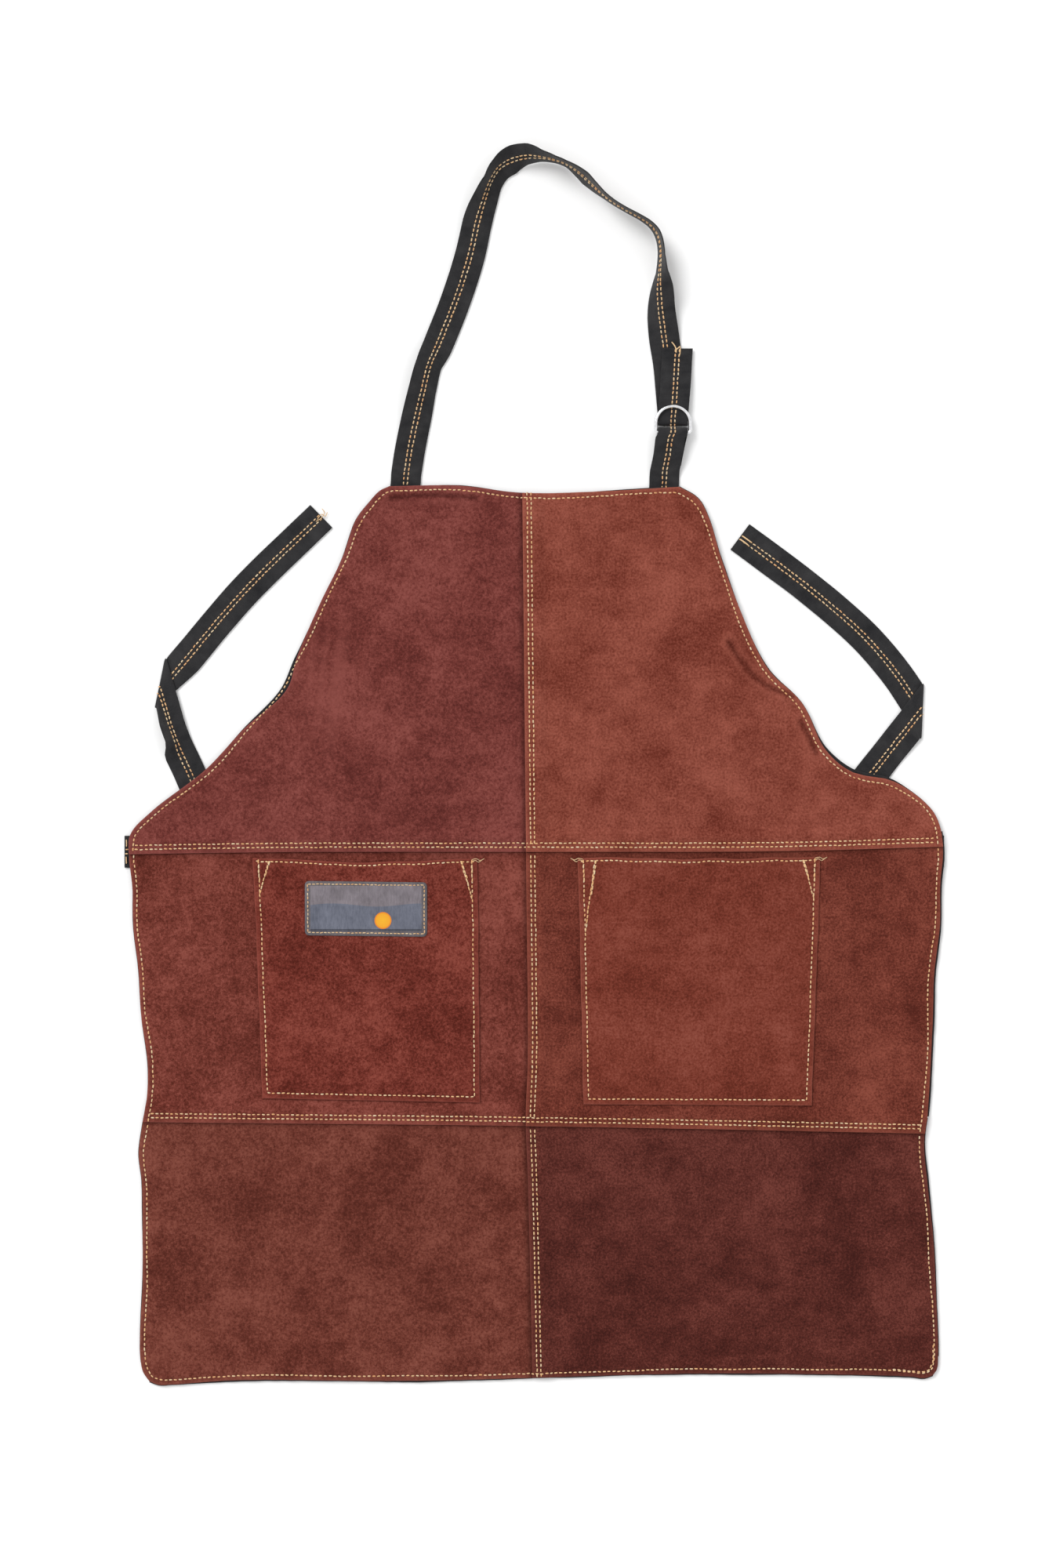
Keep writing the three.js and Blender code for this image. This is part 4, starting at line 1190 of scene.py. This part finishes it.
def pocket_threads():
    for seed, column in enumerate(("left", "right")):
        width, height = pocket_size(column)
        in_u, in_v = POCKET_INSET / width, POCKET_INSET / height
        thread = Thread(360 + seed)
        thread.row(pocket_path(column, [(in_u, 0.995), (in_u, in_v), (1 - in_u, in_v), (1 - in_u, 0.995)]))
        for inwards, values in zip((1, -1), TACKS[column]):
            tack(thread, column, inwards, *values)
        thread.settle_as("pocket_thread_" + column, None, "waist")
        thread = Thread(370 + seed)
        hem_v = 1 - MOUTH_INSET / height
        thread.row(pocket_path(column, [(0.01, hem_v), (0.99, hem_v)]))
        thread.settle_as("pocket_hem_thread_" + column, None, "waist")


# ---- Label ----
LABEL_CORNER = 3.5
LABEL_GRID = (68, 32)
LABEL_SLANT = 0.012
LABEL_LIFT = 0.15
LABEL_INSET = 2.5
LABEL_GROOVE = 0.3
LABEL_GROOVE_INSET = 2.3


def slanted(places):
    """The same places, a little lower towards the label's right end."""
    middle_x = (LABEL_BOX[0] + LABEL_BOX[2]) / 2
    x, y = places[..., 0], places[..., 1]
    return np.stack([x, y + (middle_x - x) * LABEL_SLANT], -1)


def label_places():
    """Grid of the label in plan, its corners rounded."""
    left, bottom, right, top = LABEL_BOX
    lines = np.linspace(left, right, LABEL_GRID[0]), np.linspace(bottom, top, LABEL_GRID[1])
    places = np.stack(np.meshgrid(*lines, indexing="ij"), -1)
    centre = np.array([(left + right) / 2, (bottom + top) / 2])
    straight = np.array([(right - left) / 2, (top - bottom) / 2]) - LABEL_CORNER
    distance = np.abs(places - centre)
    past = np.maximum(distance - straight, 0)
    scale = past.max(-1) / np.maximum(np.linalg.norm(past, axis=-1), 1e-6)
    rounded = np.minimum(distance, straight) + past * scale[..., None]
    return slanted(centre + np.sign(places - centre) * rounded)


def label_base(x, y):
    """The underside of the label, just off the left pocket."""
    top_left, bottom_left, _, _ = POCKETS["left"]
    width, height = pocket_size("left")
    u, v = (x - top_left[0]) / width, (y - bottom_left[1]) / height
    _, front, _, _ = pocket_heights("left", u, v, x, y)
    return front + LABEL_LIFT


def label():
    places = label_places()
    x, y = places[..., 0], places[..., 1]
    base = label_base(x, y)
    left, bottom, right, top = LABEL_BOX
    rim = np.minimum(np.minimum(x - left, right - x), np.minimum(y - bottom, top - y))
    sunk = bell(rim - LABEL_GROOVE_INSET, 0.9) + bell(rim, 0.9)
    front = base + LABEL - LABEL_GROOVE * sunk
    upper = np.stack([x, y, front], -1)
    lower = np.stack([x, y, base], -1)
    piece = make_slab("label_patch_cloth", upper, lower, places, LABEL_CLOTH)
    settle(piece, ["label_patch"], None, "waist")


def label_thread():
    left, bottom, right, top = np.array(LABEL_BOX) + LABEL_INSET * np.array([1, 1, -1, -1])
    corners = [(left, bottom), (right, bottom), (right, top), (left, top), (left, bottom)]
    thread = Thread(380)
    for start, end in zip(corners[:-1], corners[1:]):
        plan = slanted(spaced(np.array([start, end], float), 1.0))
        z = label_base(*plan.T) + LABEL - LABEL_GROOVE
        thread.row(np.column_stack([plan, z]), pitch=3.1, length=2.7, radius=0.42)
    thread.settle_as("label_thread", None, "waist")


# ---- Straps ----
# A strap runs through frames: its middle, the ways from there to its two edges, and the face of each half.
ACROSS = np.array([-1, -0.985, -0.95, -0.88, -0.7, -0.45, -0.22, -0.132, -0.05])
ACROSS = np.concatenate([ACROSS, [0], -ACROSS[::-1]])
STRAP_ROW = ROW_SPACING / STRAP_WIDTH
HALF_THICKNESS = 0.6
THREAD_HEIGHT = 0.56
CURL = 0.16
STRAP_PUFF = 0.06
STRAP_ROUNDING = 0.3
STRAP_GROOVE = 0.1
STRAP_EDGE_WANDER = 0.012
strap_puff = random_field(13, 71)


def frame_of(middle, across, face):
    """A frame whose two halves lie in one plane."""
    across = np.array(across, float)
    return np.array([middle, across, -across, face, face], float)


def flat_frame(x, y, z, side_x, upwards, width=STRAP_WIDTH):
    return frame_of((x, y, z), (side_x * width / 2, 0, 0), (0, 0, upwards))


def finer(frames):
    """The same strap with frames at most a step apart, and how far along it each one is."""
    step = 1.5
    frames = np.array(frames, float)
    lengths = arc_lengths(frames[:, 0])
    moves_on = np.concatenate([[True], np.diff(lengths) > 1e-6])
    frames, lengths = frames[moves_on], lengths[moves_on]
    stops = []
    for start, end in zip(lengths[:-1], lengths[1:]):
        stops.extend(np.linspace(start, end, max(1, math.ceil((end - start) / step)), endpoint=False))
    stops = np.array(stops + [lengths[-1]])
    rows = frames.shape[1]
    flat = frames.reshape(len(frames), 3 * rows)
    dense = np.stack([np.interp(stops, lengths, column) for column in flat.T], 1).reshape(-1, rows, 3)
    return dense, stops


def strap_place(frames, share):
    """Places across a strap, and its face there, at a share from -1 to 1; its halves meet in a soft curl."""
    share = np.asarray(share, float)[..., None]
    bend = np.sqrt(share**2 + CURL**2)
    parts = np.moveaxis(frames, 1, 0)
    if share.ndim == 3:
        parts = parts[:, :, None]
    middle, plus, minus, plus_face, minus_face = parts
    place = middle + plus * (bend + share) / 2 + minus * (bend - share) / 2
    weight = (1 + share / bend) / 2
    return place, unit(plus_face * weight + minus_face * (1 - weight))


def strap(name, nodes, frames, fold, seed, ends=()):
    """A folded twill strap with its two rows of stitches on both faces, and loose ends of thread."""
    frames, lengths = finer(frames)
    shares = ACROSS[None, :]
    puff = strap_puff(shares * STRAP_WIDTH / 2 + 40 * seed, lengths[:, None])
    half = HALF_THICKNESS + STRAP_PUFF * puff - STRAP_ROUNDING * bell(1 - np.abs(shares), 0.04)
    half = half - STRAP_GROOVE * bell(np.abs(shares) - STRAP_ROW, 0.05)
    edge = 1 + STRAP_EDGE_WANDER * strap_puff(lengths[:, None] * 0.6, 40 * seed + 9 * np.sign(shares))
    body, faces = strap_place(frames, shares * edge)
    top = body + faces * half[..., None]
    bottom = body - faces * half[..., None]
    flat = np.stack(np.broadcast_arrays(shares * STRAP_WIDTH / 2, lengths[:, None]), -1)
    piece = make_slab(name + "_twill", top, bottom, flat, TWILL)
    thread = Thread(400 + seed)
    for side in (-STRAP_ROW, STRAP_ROW):
        line, out = strap_place(frames, np.full(len(frames), side))
        for face in (1, -1):
            thread.row(line + out * face * THREAD_HEIGHT, out * face, pitch=3.9, wander=0.08)
    for points, radius in ends:
        thread.strand(points, radius)
    stitches = thread.piece(name)
    settle(piece, nodes, fold)
    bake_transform(stitches)


# Up the left of the neck, over and down to the buckle: x and y of the strap's middle,
# and how steeply its outer and inner halves lean, in degrees.
NECK_ROUTE = (
    (-106.2, 240.4, 0, 0), (-103, 261.6, 0, 0), (-98, 285, 6, 12), (-92.5, 308, 20, 32),
    (-86.8, 331.2, 30, 36), (-80.5, 346, 14, 10), (-74.4, 361, 4, 4), (-62.7, 391.6, 4, 4),
    (-53, 422.8, 6, 8), (-47.1, 449.5, 14, 14), (-42.4, 467, 46, 20), (-37, 483, 70, 30),
    (-29.5, 494.5, 62, 24), (-18, 500, 30, 34), (-6, 501.6, 40, 70), (6, 501.4, 76, 84),
    (18, 499.2, 90, 88), (27, 495.8, 92, 88), (35, 490.8, 86, 78), (42.5, 484.5, 80, 72),
    (50.5, 476.5, 84, 80), (58.5, 469.4, 90, 88), (67, 463.2, 92, 90), (77, 457.4, 93, 90),
    (87, 452, 92, 90), (96, 446, 90, 86), (101.6, 439, 86, 82), (104.4, 430, 84, 80),
    (105, 419, 80, 78), (104, 407, 64, 76), (103, 396, 30, 64), (103.4, 384, 4, 46),
    (104.8, 372, 0, 28), (106.6, 360, 0, 14), (108.5, 348, 0, 0), (110.5, 335, 0, 0),
    (113, 310, 0, 0), (114.7, 290, 0, 0),
)


def leaning_frames(route):
    """Frames of a strap that stands on its inner edge along a route."""
    per_span = 12
    line = smooth_curve([(x, y) for x, y, _, _ in route], per_span)
    knots = arc_lengths(line)[::per_span]
    curve = spaced(line, 2.5)
    stops = arc_lengths(curve)
    heading = unit(np.column_stack([np.gradient(curve, axis=0), np.zeros(len(curve))]))
    outwards = np.column_stack([-heading[:, 1], heading[:, 0], np.zeros(len(curve))])
    half = STRAP_WIDTH / 2
    ways, faces = [], []
    for column in (2, 3):
        lean = np.radians(np.interp(stops, knots, [row[column] for row in route]))
        way = outwards * np.cos(lean)[:, None] + UP * np.sin(lean)[:, None]
        ways.append(way * half)
        faces.append(np.cross(heading, way))
    middle = np.column_stack([curve, STRAP_LEVEL + ways[1][:, 2]])
    return list(np.stack([middle, ways[0], -ways[1], *faces], 1))


BUCKLE_X = 114.7
BAR_Y = 275
LOWER_RING_Z = STRAP + GAP + RING_WIRE / 2
TAIL_Z = LOWER_RING_Z + RING_WIRE / 2 + GAP + STRAP / 2
UPPER_RING_Z = TAIL_Z + STRAP / 2 + GAP + RING_WIRE / 2
FOLD_TOP_Z = UPPER_RING_Z + RING_WIRE / 2 + GAP + STRAP / 2


def half_turn(y, high, side, width=STRAP_WIDTH):
    """A strap's half turn round a bar: down on the neck's side of it (1) or up on the bib's side (-1)."""
    radius = (high - STRAP_LEVEL) / 2
    turns = np.linspace(0, math.pi, 11)
    faces = np.stack([0 * turns, np.sin(turns), np.cos(turns)], 1)
    middles = np.array([BUCKLE_X, y, STRAP_LEVEL + radius]) + side * radius * faces
    return [frame_of(middle, (-side * width / 2, 0, 0), face) for middle, face in zip(middles, faces)]


def neck_strap():
    turn_y = 283.5
    frames = [flat_frame(-110, 212, STRAP_LEVEL, -1, 1), flat_frame(-106.6, 233.5, STRAP_LEVEL, -1, 1)]
    frames += leaning_frames(NECK_ROUTE)
    frames.append(flat_frame(BUCKLE_X, turn_y + 1, STRAP_LEVEL, 1, 1))
    frames += half_turn(turn_y, TAIL_Z, -1)[1:-1]
    tail = (
        (0, turn_y + 1, TAIL_Z), (1.2, 300, TAIL_Z), (2, 312, TAIL_Z - 0.6),
        (3, 328, SECOND_LEVEL + 0.6), (4, 344.8, SECOND_LEVEL),
    )
    frames += [flat_frame(BUCKLE_X + x, y, z, 1, -1) for x, y, z in tail]
    tail_top = SECOND_LEVEL + HALF_THICKNESS + 0.5
    over_strap = STRAP + 1
    long_strand = (
        (113.8, 350.3, over_strap), (116, 347.5, over_strap), (117.5, 344, tail_top), (117.4, 341, tail_top),
    )
    strands = (
        (long_strand, 0.5),
        ([(121, 346.8, over_strap), (118.6, 344.6, tail_top), (116.4, 343, tail_top)], 0.5),
        ([(120.8, 346.4, over_strap), (120.9, 342.5, tail_top), (120.2, 338.5, tail_top)], 0.4),
    )
    strap("neck_strap", ["neck_strap", "neck_strap_sewn_end"], frames, NECK_FOLD, 1, ends=strands)


def buckle_strap():
    width = STRAP_WIDTH - 0.4
    turn_y = BAR_Y - 0.8
    slope_y = 244
    over = (
        (106.5, 212, STRAP_LEVEL), (107.8, 233.5, STRAP_LEVEL), (107.9, 238.5, STRAP_LEVEL),
        (108.2, slope_y, SECOND_LEVEL + 0.3), (110.6, slope_y + 12, SECOND_LEVEL + 4.5),
        (112.4, turn_y - 4, FOLD_TOP_Z),
    )
    under = ((112.4, turn_y - 10), (109.4, slope_y + 4))
    frames = [flat_frame(x, y, z, -1, 1, width) for x, y, z in over]
    frames += half_turn(turn_y, FOLD_TOP_Z, 1, width)
    frames += [flat_frame(x, y, STRAP_LEVEL, -1, -1, width) for x, y in under]
    strap("buckle_strap", ["buckle_strap", "buckle_strap_sewn_end"], frames, NECK_FOLD, 2)


# ---- Ties ----
# Each length of a tie has the places that it bends through and the one that it ends at, its levels
# at its start and its end, how far along it keeps the first, and how steeply its outer half leans
# up past there, in degrees. Loose ends of thread have their points and their radius.
TIE_WIDTH = 26.4
TIES = {
    "left": {
        "hip": (-339.6, -72),
        "lengths": (
            ([], (-261, -72), STRAP_LEVEL, SECOND_LEVEL, 20, 0),
            (
                [(-273, -38), (-286, -6), (-297.5, 19), (-305, 41)],
                (-310.5, 60), STRAP_LEVEL, SECOND_LEVEL, 84, 62,
            ),
            ([(-286, 90), (-240, 144)], (-176.5, 206), STRAP_LEVEL, STRAP_LEVEL, 0, 0),
        ),
        "ends": (
            ([(-337.9, -62, 1.7), (-337.7, -65, 2.1), (-337.8, -68, 1.7)], 0.5),
            ([(-338.2, -76, 1.7), (-338, -79, 2.1), (-337.9, -82, 1.7)], 0.5),
            ([(-180, 203, 1.7), (-176, 207.5, 2.2), (-173, 206, 1.4), (-171.5, 209.5, 0.8)], 0.34),
            ([(-181, 201.5, 1.8), (-177, 204, 2.3), (-174, 209, 1.2), (-176, 212.5, 0.8)], 0.34),
        ),
    },
    "right": {
        "hip": (339.6, -72),
        "lengths": (
            ([], (229, -72), STRAP_LEVEL, SECOND_LEVEL, 20, 0),
            ([], (320.5, 44.5), STRAP_LEVEL, SECOND_LEVEL, 106, 0),
            ([(301.5, 73.5), (274, 106), (228, 146)], (170.5, 189), STRAP_LEVEL, STRAP_LEVEL, 0, 0),
        ),
        "ends": (
            ([(179.5, 184.5, 1.7), (176, 187, 2.3), (172.5, 189.5, 1.7)], 0.62),
            ([(177.5, 181.8, 1.7), (174, 184.4, 2.3), (170.5, 187, 1.7)], 0.62),
        ),
    },
}


LEAN_RISE = 16
LEAN_FALL = 14
TUCK_EASE = 34
FRAMES_PER_LENGTH = 24
CREASE_CLEARANCE = 2


def heading_at(curve, distance):
    """The unit direction of a curve at a distance along it."""
    stops = arc_lengths(curve)
    before, after = (
        np.array([np.interp(distance + step, stops, column) for column in curve.T]) for step in (-0.5, 0.5)
    )
    return unit(after - before)


def tie_line(curve, distance, level, face_up, crease=None, lean=0.0, tuck=1.0):
    """The frame of a tie at a distance along one of its lengths, square to it or along a crease.

    Its outer half may lean up, and is narrower by the tuck where it is gathered into a fold.
    """
    stops = arc_lengths(curve)
    middle = [np.interp(distance, stops, column) for column in curve.T]
    heading = heading_at(curve, distance)
    side = np.array([-heading[1], heading[0]]) * face_up
    direction = side if crease is None else crease * np.sign(crease @ side)
    across = direction * TIE_WIDTH / 2 / abs(direction @ side)
    frame = frame_of((*middle, level), (*across, 0), (0, 0, face_up))
    frame[2] = tuck * (frame[2] * math.cos(lean) + UP * TIE_WIDTH / 2 * math.sin(lean))
    frame[4] = face_up * (UP * math.cos(lean) + np.array([*side, 0]) * math.sin(lean))
    return frame


def crease_reach(curve, distance, crease):
    """How far along a length the slanting crease at its end takes up."""
    if crease is None:
        return 0.0
    heading = heading_at(curve, distance)
    side = np.array([-heading[1], heading[0]])
    return abs(crease @ heading / (crease @ side)) * TIE_WIDTH / 2 + CREASE_CLEARANCE


def opening(tuck, share):
    """A tuck as it opens out to full width, share of the way."""
    return tuck + (1 - tuck) * float(ramp(share))


def tie_length(curve, low, high, stays, lean, face_up, creases, tucks):
    """Frames of one length of a tie, with the crease and the tuck at its start and at its end."""
    total = arc_lengths(curve)[-1]
    begin = crease_reach(curve, 0, creases[0])
    finish = total - max(crease_reach(curve, total, creases[1]), 0.5)
    rise_from = max(begin, stays)
    frames = [tie_line(curve, 0, low, face_up, creases[0], tuck=tucks[0])]
    for distance in np.linspace(max(begin, 1), finish, FRAMES_PER_LENGTH):
        share = np.clip((distance - rise_from) / (finish - rise_from), 0, 1)
        to_end = (total - distance) / LEAN_FALL
        leaning = float(ramp((distance - rise_from) / LEAN_RISE) * ramp(to_end))
        tuck = min(opening(tucks[0], distance / TUCK_EASE), opening(tucks[1], to_end))
        level = low + (high - low) * share
        frames.append(tie_line(curve, distance, level, face_up, None, math.radians(lean) * leaning, tuck))
    frames.append(tie_line(curve, total, high, face_up, creases[1], tuck=tucks[1]))
    return frames


def tie_frames(hip, lengths):
    """Frames of a tie: its lengths, with a flat crease down under itself at each fold."""
    starts = [hip] + [end for _, end, *_ in lengths]
    routes = [[start, *bends, end] for start, (bends, end, *_) in zip(starts, lengths)]
    curves = [spaced(smooth_curve(route), 1.0) for route in routes]
    ends = [heading_at(curve, arc_lengths(curve)[-1]) for curve in curves]
    creases = [unit(end + heading_at(after, 0)) for end, after in zip(ends, curves[1:])]
    creases = [None, *creases, None]
    tucks = [1.0] + [math.cos(math.radians(lean)) for *_, lean in lengths]
    frames = []
    face_up = 1
    for n, (curve, (_, _, low, high, stays, lean)) in enumerate(zip(curves, lengths)):
        frames += tie_length(curve, low, high, stays, lean, face_up, creases[n : n + 2], tucks[n : n + 2])
        if n + 1 < len(lengths):
            frames += tie_turn(frames[-1], ends[n], high, lengths[n + 1][2], face_up)
        face_up = -face_up
    return frames


def tie_turn(last, heading, high, low, face_up):
    """Half a turn down under itself, past the last frame of a length."""
    middle, across = last[0], last[1]
    crease = unit(across[:2])
    out = unit(heading - crease * (heading @ crease))
    radius = (high - low) / 2
    frames = []
    steps = 8
    for step in range(1, steps):
        turn = math.pi * step / steps
        at = middle[:2] + out * radius * math.sin(turn)
        level = high - radius * (1 - math.cos(turn))
        face = np.array([*(out * math.sin(turn)), math.cos(turn)]) * face_up
        turned = frame_of((*at, level), across, face)
        turned[2] = last[2]
        frames.append(turned)
    return frames


def ties():
    for seed, column in enumerate(("left", "right")):
        tie = TIES[column]
        frames = tie_frames(tie["hip"], tie["lengths"])
        nodes = ["tie_" + column, "tie_sewn_end_" + column]
        strap("tie_" + column, nodes, frames, TIE_FOLDS[column], 3 + seed, tie["ends"])


# ---- D-rings ----
def ring_line():
    """The middle of the ring's wire: a flat bar, two small corners and a half circle."""
    half = (RING_WIDTH - RING_WIRE) / 2
    corner = 1.6
    arc_y = RING_HEIGHT - RING_WIRE - half

    def arc(x, y, radius, start, end, count):
        turns = np.linspace(start, end, count) * math.pi
        return np.stack([x + radius * np.cos(turns), y + radius * np.sin(turns)], 1)

    bar = np.stack([np.linspace(corner - half, half - corner, 12), np.zeros(12)], 1)
    right = arc(half - corner, corner, corner, -0.5, 0, 6)[1:]
    bow = arc(0, arc_y, half, 0, 1, 48)
    left = arc(corner - half, corner, corner, 1, 1.5, 6)[:-1]
    return np.vstack([bar, right, bow, left])


def ring(name, z, body):
    line = ring_line()
    heading = unit(np.roll(line, -1, axis=0) - np.roll(line, 1, axis=0))
    out = np.column_stack([heading[:, 1], -heading[:, 0], np.zeros(len(line))])[:, None, :]
    sides = 16
    turns = np.arange(sides) * 2 * math.pi / sides
    radius = RING_WIRE / 2
    middle = np.column_stack([line + (BUCKLE_X, BAR_Y), np.full(len(line), z)])[:, None, :]
    points = middle + radius * (np.cos(turns)[:, None] * out + np.sin(turns)[:, None] * UP)
    index = np.arange(len(line) * sides).reshape(len(line), sides)
    after, beside = np.roll(index, -1, axis=0), np.roll(index, -1, axis=1)
    both = np.roll(after, -1, axis=1)
    quads = np.stack([index, after, both, beside], -1).reshape(-1, 4)
    lengths = arc_lengths(line)
    flat = np.stack(np.broadcast_arrays((turns * radius)[None, :], lengths[:, None]), -1)
    piece = make_piece(name + "_wire", points, [quads], flat, STEEL)
    settle(piece, [name], None, body)


# ---- Stage, light and camera ----
def stage():
    floor_level = -0.0006
    bpy.ops.mesh.primitive_plane_add(size=8, location=(0, 0, floor_level))
    floor = bpy.context.object
    floor.name = "floor"
    look = Look("white_floor", 0.9, Specular_IOR_Level=0.1)
    look.paint((0.93, 0.93, 0.93, 1))
    floor.data.materials.append(look.material)


def lights():
    world = bpy.data.worlds.new("studio")
    bpy.context.scene.world = world
    world.use_nodes = True
    sky = world.node_tree.nodes["Background"].inputs
    sky["Color"].default_value = (1, 1, 1, 1)
    sky["Strength"].default_value = SKY_STRENGTH
    sun = bpy.data.lights.new("window", "SUN")
    sun.energy = SUN_STRENGTH
    sun.angle = math.radians(28)
    holder = bpy.data.objects.new("window", sun)
    towards_window = Vector((-0.75, 0.8, 1.15))
    holder.rotation_euler = towards_window.to_track_quat("Z", "Y").to_euler()
    bpy.context.scene.collection.objects.link(holder)
    bpy.context.scene.view_settings.view_transform = "Standard"


def camera():
    view_centre = (-0.00975, -0.0159)
    view_height = 1.300
    lens = bpy.data.cameras.new("camera")
    lens.lens = 70
    lens.sensor_width = 36
    holder = bpy.data.objects.new("camera", lens)
    distance = view_height * lens.lens / lens.sensor_width
    holder.location = (*view_centre, distance)
    bpy.context.scene.collection.objects.link(holder)
    bpy.context.scene.camera = holder


camera()
lights()
stage()
leather_panels()
tapes()
edge_threads()
seam_threads()
for side in ("left", "right"):
    pocket(side)
pocket_threads()
label()
label_thread()
neck_strap()
buckle_strap()
ties()
ring("d_ring_lower", LOWER_RING_Z, "neck_loop")
ring("d_ring_upper", UPPER_RING_Z, "upper_ring")

bpy.context.view_layer.update()
